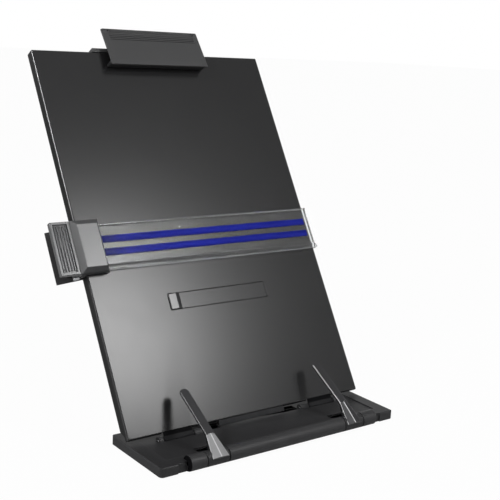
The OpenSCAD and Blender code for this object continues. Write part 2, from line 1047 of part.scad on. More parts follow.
module guide_body() {
    color("#8b8d90")
        on_guide()
            difference() {
                union() {
                    intersection() {
                        ybar(0, guide_h)
                            polygon([
                                [pad_right - fuse, pad_low],
                                [pad_right - fuse, bevel_low],
                                [pad_right, bevel_low],
                                [face_left, block_out],
                                [face_right, block_out],
                                [block_right, slope_low],
                                [block_right, block_rest],
                                [0, block_rest],
                                [-runner_w - slide_gap, block_rest]
                            ]);
                        xbar(pad_right - over, block_right + over)
                            polygon([
                                [0, 0],
                                [0, block_out - chamfer_drop],
                                [chamfer_low, block_out],
                                [guide_h - chamfer_high, block_out],
                                [guide_h, block_out - chamfer_drop],
                                [guide_h, 0]
                            ]);
                    }
                    box(
                        [-runner_w - slide_gap, 0, -runner_low],
                        [-slide_gap, guide_h, block_rest + fuse]
                    );
                    box([pad_left, 0, pad_low], [pad_right, guide_h, pad_out]);
                    guide_ear(0, ear_w);
                    guide_ear(guide_h - ear_w, guide_h);
                }
                box(
                    [pad_left + grip_border, grip_border, grip_low],
                    [pad_right - grip_border, guide_h - grip_border, pad_out + over]
                );
                translate([guide_pin_x, 0, guide_pin_z])
                    yrod(-over, guide_h + over, guide_pin_r + snug_fit);
                strip_room();
                strip_screw_spots()
                    cylinder(h = strip_screw_l, r = strip_screw_r + snug_fit);
                box(
                    [felt_left, felt_end, 0],
                    [felt_right, guide_h - felt_end, slide_gap + felt_t]
                );
            }
}

// Ribbed insert in the thumb pad
module guide_grip() {
    left = pad_left + grip_border + snug_fit;
    right = pad_right - grip_border - snug_fit;
    low = grip_border + snug_fit;
    high = guide_h - grip_border - snug_fit;
    pitch = (right - left) / grip_rib_count;
    base = pad_out - grip_drop - grip_rib_h;
    color("#6f7174")
        on_guide() {
            box([left, low, grip_low], [right, high, base]);
            for (i = [0 : grip_rib_count - 1])
                translate([left + (i + 0.5) * pitch, 0, 0])
                    box(
                        [-pitch * grip_rib_share / 2, low + grip_border / 2, base - fuse],
                        [pitch * grip_rib_share / 2, high - grip_border / 2, base + grip_rib_h]
                    );
        }
}

strip_right = board_w + strip_over;

// Strip seen along its length, from its lower edge, with clearance all round
module strip_outline(gap) {
    translate([-gap, -gap])
        square([strip_h + 2 * gap, strip_t + 2 * gap]);
    polygon([
        [-gap, 0],
        [-gap, strip_t + lip_h + gap],
        [lip_w + gap, strip_t + lip_h + gap],
        [lip_w + lip_bevel + gap, strip_t],
        [lip_w + lip_bevel + gap, 0]
    ]);
    translate([strip_h - upper_lip_w - gap, 0])
        square([upper_lip_w + 2 * gap, strip_t + upper_lip_h + gap]);
}

module strip_room() {
    xbar(strip_left - snug_fit, block_right + over)
        translate([strip_low, strip_lift]) {
            strip_outline(snug_fit);
            translate([-snug_fit, -strip_lift])
                square([strip_h + 2 * snug_fit, strip_lift + fuse]);
        }
}

module strip_screw_spots() {
    for (y = [strip_low + strip_h / 4, strip_low + strip_h * 3 / 4])
        translate([strip_left + strip_screw_in, y, strip_lift + stripe_t])
            children();
}

module stripe_spots() {
    for (i = [0, 1])
        translate([0, strip_low + stripe_low + i * stripe_pitch, strip_lift])
            children();
}

stripe_left = block_right + slide_gap;
stripe_right = board_w - stripe_end;

module guide_strip() {
    color([0.85, 0.88, 0.9, 0.4])
        on_guide()
            difference() {
                union() {
                    xbar(strip_left, strip_right)
                        translate([strip_low, strip_lift])
                            strip_outline(0);
                    box(
                        [strip_right - hook_t, strip_low, -hook_back],
                        [strip_right, strip_low + strip_h, strip_lift + strip_t]
                    );
                }
                stripe_spots()
                    box([stripe_left, 0, -over], [stripe_right, stripe_h, stripe_t]);
                strip_screw_spots() {
                    translate([0, 0, -stripe_t - over])
                        cylinder(h = strip_t + lip_h + 2 * over, r = strip_screw_r + snug_fit);
                    translate([0, 0, -stripe_t - over])
                        cylinder(h = stripe_t + over + strip_head_t, r = strip_head_r + snug_fit);
                }
            }
}

module guide_stripes() {
    color("#2c3a9a")
        on_guide()
            stripe_spots()
                box([stripe_left, 0, 0], [stripe_right, stripe_h, stripe_t]);
}

module strip_screws() {
    color("#b9bcc0")
        on_guide()
            strip_screw_spots() {
                cylinder(h = strip_head_t, r = strip_head_r);
                cylinder(h = strip_screw_l - slide_gap, r = strip_screw_r);
            }
}

module guide_felt() {
    color("#202123")
        on_guide()
            box(
                [felt_left + snug_fit, felt_end + snug_fit, slide_gap],
                [felt_right - snug_fit, guide_h - felt_end - snug_fit, slide_gap + felt_t]
            );
}

module guide_pin() {
    color("#d5d7d9")
        on_guide()
            translate([guide_pin_x, 0, guide_pin_z]) {
                yrod(-slide_gap, guide_h, guide_pin_r);
                yrod(-slide_gap - guide_pin_r, -slide_gap / 2, ear_r - run_fit);
            }
}

lever_low = ear_w + web_gap;
lever_high = guide_h - ear_w - web_gap;
spring_low = lever_low + web_w + coil_gap + guide_wire_r;
spring_high = lever_high - web_w - coil_gap - guide_wire_r;
guide_spring_path = coil_path(
    guide_coil_r, spring_high - spring_low, guide_coil_turns,
    guide_coil_start, guide_coil_end, guide_leg_a, guide_leg_b
);

module guide_spring() {
    color("#b5b7ba")
        on_guide()
            translate([guide_pin_x, spring_low, guide_pin_z])
                wire(guide_spring_path, guide_wire_r, [0, 1, 0]);
}

module guide_lever() {
    tail_rise = (tail_back + jaw_z - jaw_t) / (tail_reach + sheet_t);
    hook_x = sheet_t + hook_gap;
    color("#1d1e20")
        on_guide()
            difference() {
                union() {
                    ybar(0, guide_h)
                        polygon([
                            [-tail_reach, -tail_back],
                            [sheet_t, jaw_z - jaw_t],
                            [hook_x + hook_w, jaw_z - jaw_t / 2],
                            [hook_x + hook_w, jaw_z + hook_up],
                            [hook_x, jaw_z + hook_up],
                            [hook_x, jaw_z],
                            [-jaw_left, jaw_z],
                            [-jaw_step, lever_t - tail_back + tail_rise * (tail_reach - jaw_step)],
                            [-tail_reach - tail_bevel, lever_t - tail_back - tail_bevel * tail_rise]
                        ]);
                    for (y = [lever_low, lever_high - web_w])
                        ybar(y, y + web_w) {
                            translate([guide_pin_x, guide_pin_z])
                                circle(lever_knuckle_r);
                            polygon([
                                [guide_pin_x - lever_knuckle_r, guide_pin_z],
                                [guide_pin_x + lever_knuckle_r, guide_pin_z],
                                [guide_pin_x + lever_knuckle_r, jaw_z - jaw_t],
                                [
                                    guide_pin_x - lever_knuckle_r,
                                    -tail_back + lever_t / 2
                                    + tail_rise * (tail_reach + guide_pin_x - lever_knuckle_r)
                                ]
                            ]);
                        }
                }
                translate([guide_pin_x, 0, guide_pin_z])
                    yrod(-over, guide_h + over, guide_pin_r + run_fit);
            }
}

module lever_felt() {
    color("#202123")
        on_guide()
            box(
                [-jaw_left, felt_end, jaw_z],
                [sheet_t + hook_gap - slide_gap, guide_h - felt_end, jaw_z + lever_felt_t]
            );
}

// Top clip

module clip_pin_place() {
    translate([0, clip_pin_up, clip_pin_out])
        children();
}

module clip_base() {
    ear_out = clip_ear_x + clip_ear_w;
    color("#2a2b2e")
        on_clip()
            difference() {
                union() {
                    box(
                        [-clip_base_left, 0, -rim_depth - clip_wall_t],
                        [clip_base_right, clip_base_h, clip_front_flush]
                    );
                    box(
                        [-clip_base_left, -clip_wall_h, -rim_depth - clip_wall_t],
                        [clip_base_right, fuse, -rim_depth]
                    );
                    both_sides() {
                        clip_pin_place()
                            xrod(clip_ear_x, ear_out, clip_knuckle_r);
                        xbar(clip_ear_x, ear_out)
                            polygon([
                                [clip_base_h - fuse, -rim_depth / 2],
                                [clip_base_h - fuse, clip_front_flush],
                                [clip_pin_up, clip_pin_out + clip_knuckle_r],
                                [clip_pin_up + clip_knuckle_r, clip_pin_out],
                                [clip_pin_up, clip_pin_out - clip_knuckle_r]
                            ]);
                    }
                }
                clip_pin_place()
                    xrod(-ear_out - over, ear_out + over, clip_pin_r + snug_fit);
                both_sides()
                    translate([clip_screw_x, 0, -clip_screw_out])
                        yrod(-over, clip_screw_l, clip_screw_r + snug_fit);
            }
}

module clip_screws() {
    color("#b9bcc0")
        on_clip()
            both_sides()
                translate([clip_screw_x, 0, -clip_screw_out]) {
                    yrod(-sheet_t - fuse, clip_screw_l - slide_gap, clip_screw_r);
                    yrod(-sheet_t - clip_head_t, -sheet_t, clip_head_r);
                }
}

module clip_pin() {
    ear_out = clip_ear_x + clip_ear_w;
    color("#c4c6c9")
        on_clip()
            clip_pin_place()
                xrod(-ear_out, ear_out, clip_pin_r);
}

clip_coil_l = clip_coil_turns * (2 * clip_wire_r + clip_coil_gap);
clip_spring_path = coil_path(
    clip_coil_r, clip_coil_l, clip_coil_turns, 180, 90, clip_leg_a, clip_leg_b
);

module clip_spring() {
    color("#b5b7ba")
        on_clip()
            clip_pin_place()
                translate([-clip_coil_l / 2, 0, 0])
                    wire(
                        [for (p = clip_spring_path) [p[1], p[0], p[2]]],
                        clip_wire_r, [1, 0, 0]
                    );
}

module clip_plate() {
    half = clip_w / 2;
    rear = clip_out - clip_t;
    lip_back = slide_gap + clip_pad_t;
    knuckle_end = clip_ear_x - slide_gap;
    color("#45474a")
        on_clip()
            difference() {
                union() {
                    translate([0, -clip_drop, 0])
                        ybar(0, clip_h)
                            polygon([
                                [-half, rear],
                                [-half, clip_out - clip_bevel / 2],
                                [-half + clip_bevel, clip_out],
                                [half - clip_bevel, clip_out],
                                [half, clip_out - clip_bevel / 2],
                                [half, rear]
                            ]);
                    box(
                        [-half, -clip_drop, lip_back],
                        [half, clip_lip_h - clip_drop, rear + fuse]
                    );
                    both_sides() {
                        clip_pin_place()
                            xrod(knuckle_end - clip_knuckle_w, knuckle_end, clip_knuckle_r);
                        xbar(knuckle_end - clip_knuckle_w, knuckle_end)
                            polygon([
                                [clip_pin_up - clip_knuckle_r, clip_pin_out],
                                [clip_pin_up + clip_knuckle_r, clip_pin_out],
                                [clip_pin_up + 2 * clip_knuckle_r, rear + fuse],
                                [clip_pin_up - 2 * clip_knuckle_r, rear + fuse]
                            ]);
                    }
                }
                clip_pin_place()
                    xrod(-clip_ear_x, clip_ear_x, clip_pin_r + run_fit);
                for (i = [0 : groove_count - 1])
                    translate([0, clip_h - clip_drop - groove_top - i * groove_pitch, clip_out])
                        box([groove_side - half, -groove_h, -groove_d], [half - groove_side, 0, over]);
            }
}

module clip_pad() {
    half = clip_w / 2 - clip_pad_inset;
    color("#1a1a1a")
        on_clip()
            box(
                [-half, clip_pad_inset - clip_drop, slide_gap],
                [half, clip_lip_h - clip_pad_inset - clip_drop, slide_gap + clip_pad_t]
            );
}

echo(str("guide_spring least gap ", least_gap(guide_spring_path, guide_wire_r, rings_a_turn - 2)));
echo(str("clip_spring least gap ", least_gap(clip_spring_path, clip_wire_r, rings_a_turn - 2)));

base_tray();
base_plate();
base_screws();
rubber_feet();
tilt_rack();
arm_axles();
axle_plugs();
spring_washers();
page_arm_left();
page_arm_right();
hinge_pins();
board_panel();
blank_label();
strut_bracket();
strut_pin();
support_strut();
strut_foot();
guide_body();
guide_grip();
guide_strip();
guide_stripes();
strip_screws();
guide_felt();
guide_pin();
guide_spring();
guide_lever();
lever_felt();
clip_base();
clip_screws();
clip_pin();
clip_spring();
clip_plate();
clip_pad();
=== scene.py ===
"""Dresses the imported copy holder: enamelled steel, moulded plastic, clear strip, bright pins.

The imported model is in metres. Each sub-assembly keeps its sizes in millimetres, in the frame of the
thing it is fixed to: the board's has x along its width, y up its slope and z out of its face.
"""

from __future__ import annotations

import json
import logging
import math
from dataclasses import dataclass
from enum import Enum
from functools import partial
from typing import Callable, Iterable, Optional, Sequence

import bmesh
import bpy
from bmesh.types import BMVert
from bpy.types import Material, Mesh, Node, NodeSocket, NodeTree, Object
from mathutils import Matrix, Vector

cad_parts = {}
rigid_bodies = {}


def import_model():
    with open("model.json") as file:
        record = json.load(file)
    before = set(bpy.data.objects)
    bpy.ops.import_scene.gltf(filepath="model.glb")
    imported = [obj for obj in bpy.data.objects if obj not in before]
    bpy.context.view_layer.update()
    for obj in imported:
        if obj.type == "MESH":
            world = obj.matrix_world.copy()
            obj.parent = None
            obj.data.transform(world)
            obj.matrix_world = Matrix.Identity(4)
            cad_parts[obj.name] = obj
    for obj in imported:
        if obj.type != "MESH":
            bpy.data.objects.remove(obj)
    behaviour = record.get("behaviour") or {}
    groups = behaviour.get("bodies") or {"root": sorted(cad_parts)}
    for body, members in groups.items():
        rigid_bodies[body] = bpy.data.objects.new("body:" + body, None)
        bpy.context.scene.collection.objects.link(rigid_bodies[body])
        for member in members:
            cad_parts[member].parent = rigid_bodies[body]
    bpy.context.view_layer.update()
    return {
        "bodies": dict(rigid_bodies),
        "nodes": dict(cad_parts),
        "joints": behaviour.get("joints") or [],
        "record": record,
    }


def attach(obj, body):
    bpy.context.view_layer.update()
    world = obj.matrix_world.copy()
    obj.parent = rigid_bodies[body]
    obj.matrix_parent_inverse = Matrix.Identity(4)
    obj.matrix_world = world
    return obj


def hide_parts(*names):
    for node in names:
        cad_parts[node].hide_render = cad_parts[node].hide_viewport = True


LOG = logging.getLogger("copy_holder")
Flat = tuple[float, float]
Spot = tuple[float, float, float]
ShareRule = Callable[[Vector], float]

# Frames of the sub-assemblies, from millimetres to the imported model's metres

MILLIMETRE = 0.001
MM = Matrix.Scale(MILLIMETRE, 4)
BOARD_LEAN = math.radians(31.5)
BOARD_RISE = 12.8
BOARD_TOP = (0.0, 341.0, 0.0)
GUIDE_CORNER = (-120.0, 136.0, 0.0)
ROLL_AXIS = (0.0, -46.5, 6.9)
ON_BOARD = MM @ Matrix(
    (
        (1.0, 0.0, 0.0, 0.0),
        (0.0, math.sin(BOARD_LEAN), -math.cos(BOARD_LEAN), 0.0),
        (0.0, math.cos(BOARD_LEAN), math.sin(BOARD_LEAN), BOARD_RISE),
        (0.0, 0.0, 0.0, 1.0),
    )
)
ON_GUIDE = ON_BOARD @ Matrix.Translation(GUIDE_CORNER)
ON_CLIP = ON_BOARD @ Matrix.Translation(BOARD_TOP)
ON_ROLL = MM @ Matrix.Translation(ROLL_AXIS)

# Values that several sub-assemblies share

NEAR = 0.01
MERGE_DRAWN = 1e-7
MERGE_PACKED = 2e-6
FLAT_ANGLE = 0.5
EDGE_ANGLE = 32.0
FACE_WEIGHT = 60
WIRE_SIDES = 12
DUST_COLOUR = (0.32, 0.31, 0.3)
# Steel colour of the painted highlight along the board's left fold.
GLINT_STEEL = (0.62, 0.62, 0.63)
WHITE = (1.0, 1.0, 1.0, 1.0)


class Family(Enum):
    """The ways in which a surface of this object is finished."""

    ENAMEL = "stoved enamel"
    MOULDED = "moulded plastic"
    PLATED = "plated steel"
    DRAWN = "drawn wire"
    RUBBER = "rubber"
    FELT = "felt"
    CLEAR = "clear acrylic"
    FILM = "printed film"


METALS = (Family.PLATED, Family.DRAWN)


# Shader groups that several finishes share


def new_group(
    name: str, inputs: Sequence[tuple[str, str, object]], outputs: Sequence[tuple[str, str]]
) -> NodeTree:
    """Makes a shader node group with named sockets.

    Args:
        name: the group's name.
        inputs: name, socket type and default (or None) of each input.
        outputs: name and socket type of each output.

    Returns:
        The group, with its input node named given and its output node named result.
    """
    group = bpy.data.node_groups.new(name, "ShaderNodeTree")
    for label, kind, value in inputs:
        socket = group.interface.new_socket(label, in_out="INPUT", socket_type=kind)
        if value is not None:
            socket.default_value = value
    for label, kind in outputs:
        group.interface.new_socket(label, in_out="OUTPUT", socket_type=kind)
    group.nodes.new("NodeGroupInput").name = "given"
    group.nodes.new("NodeGroupOutput").name = "result"
    return group


def fill(node: Node, values: dict[str, object]) -> None:
    """Sets several inputs of a node, by their names."""
    for label, value in values.items():
        node.inputs[label].default_value = value


def noise(group: NodeTree, vector: NodeSocket, scale: float, detail: float) -> Node:
    """Adds a noise texture that reads a vector.

    Args:
        group: the tree that it is added to.
        vector: the socket that gives its coordinates.
        scale: its scale, in turns per metre.
        detail: its detail.

    Returns:
        The texture node.
    """
    texture = group.nodes.new("ShaderNodeTexNoise")
    fill(texture, {"Scale": scale, "Detail": detail})
    group.links.new(vector, texture.inputs["Vector"])
    return texture


def reckoned(tree: NodeTree, operation: str, *values: NodeSocket | float) -> NodeSocket:
    """Adds a math node.

    Args:
        tree: the tree that it is added to.
        operation: what it reckons.
        values: the sockets and numbers that it reads.

    Returns:
        The result.
    """
    node = tree.nodes.new("ShaderNodeMath")
    node.operation = operation
    for value, socket in zip(values, node.inputs):
        if isinstance(value, float):
            socket.default_value = value
        else:
            tree.links.new(value, socket)
    return node.outputs["Value"]


def moulding_grain_group() -> NodeTree:
    """Builds the fine grain of a moulded or stoved skin, with the slow mottling of its colour.

    Returns:
        The group, which gives a height and a mottling.
    """
    group = new_group(
        "moulding_grain",
        (("Vector", "NodeSocketVector", None), ("Scale", "NodeSocketFloat", 900.0)),
        (("Height", "NodeSocketFloat"), ("Mottle", "NodeSocketFloat")),
    )
    given, result = group.nodes["given"], group.nodes["result"]
    fine = noise(group, given.outputs["Vector"], scale=900.0, detail=3.0)
    group.links.new(given.outputs["Scale"], fine.inputs["Scale"])
    broad = noise(group, given.outputs["Vector"], scale=22.0, detail=4.0)
    group.links.new(fine.outputs["Fac"], result.inputs["Height"])
    group.links.new(broad.outputs["Fac"], result.inputs["Mottle"])
    return group


def handling_marks_group() -> NodeTree:
    """Builds the faint smears and rubs of handling, as a mask from 0 to 1.

    Returns:
        The group, which gives the mask.
    """
    group = new_group(
        "handling_marks",
        (("Vector", "NodeSocketVector", None), ("Threshold", "NodeSocketFloat", 0.5)),
        (("Mask", "NodeSocketFloat"),),
    )
    given, result = group.nodes["given"], group.nodes["result"]
    smear = noise(group, given.outputs["Vector"], scale=34.0, detail=6.0)
    smear.inputs["Distortion"].default_value = 1.2
    band = group.nodes.new("ShaderNodeMapRange")
    band.inputs["From Max"].default_value = 0.85
    group.links.new(smear.outputs["Fac"], band.inputs["Value"])
    group.links.new(given.outputs["Threshold"], band.inputs["From Min"])
    group.links.new(band.outputs["Result"], result.inputs["Mask"])
    return group


def settled_dust_group() -> NodeTree:
    """Builds a thin film of dust on the faces that look up, as a mask from 0 to 1.

    Returns:
        The group, which gives the mask.
    """
    group = new_group(
        "settled_dust",
        (("Vector", "NodeSocketVector", None), ("Normal", "NodeSocketVector", None)),
        (("Mask", "NodeSocketFloat"),),
    )
    given, result = group.nodes["given"], group.nodes["result"]
    split = group.nodes.new("ShaderNodeSeparateXYZ")
    group.links.new(given.outputs["Normal"], split.inputs["Vector"])
    upward = group.nodes.new("ShaderNodeMapRange")
    upward.inputs["From Min"].default_value = 0.3
    group.links.new(split.outputs["Z"], upward.inputs["Value"])
    specks = noise(group, given.outputs["Vector"], scale=420.0, detail=4.0)
    both = reckoned(group, "MULTIPLY", upward.outputs["Result"], specks.outputs["Fac"])
    group.links.new(both, result.inputs["Mask"])
    return group


def drawn_lines_group() -> NodeTree:
    """Builds the fine lines of drawn or rolled steel, along X.

    Returns:
        The group, which gives a height.
    """
    group = new_group(
        "drawn_lines",
        (("Vector", "NodeSocketVector", None), ("Scale", "NodeSocketFloat", 1400.0)),
        (("Height", "NodeSocketFloat"),),
    )
    given, result = group.nodes["given"], group.nodes["result"]
    stretch = group.nodes.new("ShaderNodeMapping")
    stretch.inputs["Scale"].default_value = (0.02, 1.0, 1.0)
    group.links.new(given.outputs["Vector"], stretch.inputs["Vector"])
    lines = noise(group, stretch.outputs["Vector"], scale=1400.0, detail=2.0)
    group.links.new(given.outputs["Scale"], lines.inputs["Scale"])
    group.links.new(lines.outputs["Fac"], result.inputs["Height"])
    return group


def edge_wear_and_highlight_group() -> NodeTree:
    """Builds a lighter band on outer edges, as a mask from 0 to 1: partly the polish that hands
    leave, partly a painted highlight along the edges.

    Returns:
        The group, which gives the mask.
    """
    group = new_group(
        "edge_wear_and_highlight",
        (
            ("Vector", "NodeSocketVector", None),
            ("Pointiness", "NodeSocketFloat", 0.5),
            ("Amount", "NodeSocketFloat", 0.5),
        ),
        (("Mask", "NodeSocketFloat"),),
    )
    given, result = group.nodes["given"], group.nodes["result"]
    outer = group.nodes.new("ShaderNodeMapRange")
    fill(outer, {"From Min": 0.52, "From Max": 0.62})
    group.links.new(given.outputs["Pointiness"], outer.inputs["Value"])
    patchy = noise(group, given.outputs["Vector"], scale=160.0, detail=5.0)
    product = reckoned(group, "MULTIPLY", outer.outputs["Result"], patchy.outputs["Fac"])
    scaled = reckoned(group, "MULTIPLY", product, given.outputs["Amount"])
    group.links.new(scaled, result.inputs["Mask"])
    return group


@dataclass(frozen=True)
class SharedEffects:
    """The shader groups, each built once."""

    grain: NodeTree
    marks: NodeTree
    dust: NodeTree
    lines: NodeTree
    wear_and_edge_highlight: NodeTree

    @classmethod
    def build(cls) -> "SharedEffects":
        """Builds every shared group.

        Returns:
            The groups.
        """
        return cls(
            moulding_grain_group(),
            handling_marks_group(),
            settled_dust_group(),
            drawn_lines_group(),
            edge_wear_and_highlight_group(),
        )


@dataclass(frozen=True)
class Finish:
    """One finish of the object: its family, its two mottled colours and its fine surface."""

    name: str
    family: Family
    colour: Spot
    mottled: Spot
    roughness: float
    rub: float = 0.06
    specular: float = 0.5
    coat: float = 0.0
    grain_scale: float = 900.0
    grain_depth: float = 0.00002
    dust: float = 0.0
    # The next field lightens outer edges: partly wear, partly a painted edge highlight.
    wear_and_edge_highlight: float = 0.0
    # The next three fields paint a steel-coloured highlight that grows higher up the piece.
    steel_glint: float = 0.0
    steel_glint_from: float = 0.13
    steel_glint_to: float = 0.21
    ior: float = 1.5
    coat_roughness: float = 0.08
    sheen: float = 0.4
    sheen_roughness: float = 0.6
    # The next two fields set how much lighter those edges are painted.
    edge_light_gain: float = 4.0
    edge_light_lift: float = 0.05
    bump: float = 0.6

    def build(self, shared: SharedEffects) -> Material:
        """Builds the node material.

        Args:
            shared: the shader groups.

        Returns:
            The material.
        """
        material = bpy.data.materials.new(self.name)
        material.use_nodes = True
        tree = material.node_tree
        shader = tree.nodes["Principled BSDF"]
        fill(shader, {"Metallic": 1.0 if self.family in METALS else 0.0, "IOR": self.ior})
        fill(shader, {"Specular IOR Level": self.specular})
        fill(shader, {"Coat Weight": self.coat, "Coat Roughness": self.coat_roughness})
        if self.family is Family.CLEAR:
            fill(shader, {"Transmission Weight": 1.0})
        if self.family is Family.FELT:
            fill(shader, {"Sheen Weight": self.sheen, "Sheen Roughness": self.sheen_roughness})
        place = tree.nodes.new("ShaderNodeTexCoord").outputs["Object"]
        grain = self._group(tree, shared.grain, place)
        grain.inputs["Scale"].default_value = self.grain_scale
        self._dress_colour(tree, shader, place, grain, shared)
        self._dress_surface(tree, shader, place, grain, shared)
        return material

    @staticmethod
    def _group(tree: NodeTree, group: NodeTree, place: NodeSocket) -> Node:
        """Adds a shared group that reads the object coordinates.

        Args:
            tree: the material's tree.
            group: the shader group.
            place: the object coordinates.

        Returns:
            The group's node.
        """
        node = tree.nodes.new("ShaderNodeGroup")
        node.node_tree = group
        tree.links.new(place, node.inputs["Vector"])
        return node

    @staticmethod
    def _mix(tree: NodeTree, mask: NodeSocket, under: NodeSocket, over: Spot) -> NodeSocket:
        """Lays a plain colour over another where a mask is 1.

        Args:
            tree: the material's tree.
            mask: the mask.
            under: the colour below.
            over: the colour above.

        Returns:
            The mixed colour.
        """
        node = tree.nodes.new("ShaderNodeMix")
        node.data_type = "RGBA"
        node.inputs["B"].default_value = (*over, 1.0)
        tree.links.new(mask, node.inputs["Factor"])
        tree.links.new(under, node.inputs["A"])
        return node.outputs["Result"]

    def _dress_colour(
        self, tree: NodeTree, shader: Node, place: NodeSocket, grain: Node, shared: SharedEffects
    ) -> None:
        """Mottles the colour, lightens its outer edges (partly wear, partly a painted edge
        highlight), paints in a steel highlight where set, and lays dust on it.

        Args:
            tree: the material's tree.
            shader: the principled shader.
            place: the object coordinates.
            grain: the grain group's node.
            shared: the shader groups.
        """
        blend = tree.nodes.new("ShaderNodeMix")
        blend.data_type = "RGBA"
        fill(blend, {"A": (*self.colour, 1.0), "B": (*self.mottled, 1.0)})
        tree.links.new(grain.outputs["Mottle"], blend.inputs["Factor"])
        colour = blend.outputs["Result"]
        geometry = tree.nodes.new("ShaderNodeNewGeometry")
        # Lighter outer edges: partly worn polish, partly a painted highlight along them.
        if self.wear_and_edge_highlight > 0.0:
            edge_light_node = self._group(tree, shared.wear_and_edge_highlight, place)
            edge_light_node.inputs["Amount"].default_value = self.wear_and_edge_highlight
            tree.links.new(geometry.outputs["Pointiness"], edge_light_node.inputs["Pointiness"])
            edge_light_colour = tuple(
                min(1.0, self.edge_light_gain * c + self.edge_light_lift) for c in self.colour
            )
            colour = self._mix(tree, edge_light_node.outputs["Mask"], colour, edge_light_colour)
        # Painted highlight of steel colour and metal, more of it higher up.
        if self.steel_glint > 0.0:
            colour = self._paint_steel_glint(tree, shader, place, colour)
        if self.dust > 0.0:
            film = self._group(tree, shared.dust, place)
            tree.links.new(geometry.outputs["Normal"], film.inputs["Normal"])
            amount = reckoned(tree, "MULTIPLY", film.outputs["Mask"], self.dust)
            colour = self._mix(tree, amount, colour, DUST_COLOUR)
        tree.links.new(colour, shader.inputs["Base Color"])

    def _paint_steel_glint(
        self, tree: NodeTree, shader: Node, place: NodeSocket, colour: NodeSocket
    ) -> NodeSocket:
        """Paints a highlight of steel colour and metal into the paint, more of it higher up.

        Args:
            tree: the material's tree.
            shader: the principled shader.
            place: the object coordinates.
            colour: the paint's colour.

        Returns:
            The colour with the painted steel highlight in it.
        """
        split = tree.nodes.new("ShaderNodeSeparateXYZ")
        tree.links.new(place, split.inputs["Vector"])
        rise = tree.nodes.new("ShaderNodeMapRange")
        rise.interpolation_type = "SMOOTHSTEP"
        fill(rise, {"From Min": self.steel_glint_from, "From Max": self.steel_glint_to, "To Max": self.steel_glint})
        tree.links.new(split.outputs["Z"], rise.inputs["Value"])
        tree.links.new(rise.outputs["Result"], shader.inputs["Metallic"])
        return self._mix(tree, rise.outputs["Result"], colour, GLINT_STEEL)

    def _dress_surface(
        self, tree: NodeTree, shader: Node, place: NodeSocket, grain: Node, shared: SharedEffects
    ) -> None:
        """Varies the roughness by handling and raises the grain or the drawn lines.

        Args:
            tree: the material's tree.
            shader: the principled shader.
            place: the object coordinates.
            grain: the grain group's node.
            shared: the shader groups.
        """
        marks = self._group(tree, shared.marks, place)
        rough = tree.nodes.new("ShaderNodeMapRange")
        fill(rough, {"To Min": self.roughness, "To Max": min(1.0, self.roughness + self.rub)})
        tree.links.new(marks.outputs["Mask"], rough.inputs["Value"])
        tree.links.new(rough.outputs["Result"], shader.inputs["Roughness"])
        height = grain.outputs["Height"]
        if self.family in METALS:
            height = self._group(tree, shared.lines, place).outputs["Height"]
        bump = tree.nodes.new("ShaderNodeBump")
        fill(bump, {"Distance": self.grain_depth, "Strength": self.bump})
        tree.links.new(height, bump.inputs["Height"])
        tree.links.new(bump.outputs["Normal"], shader.inputs["Normal"])


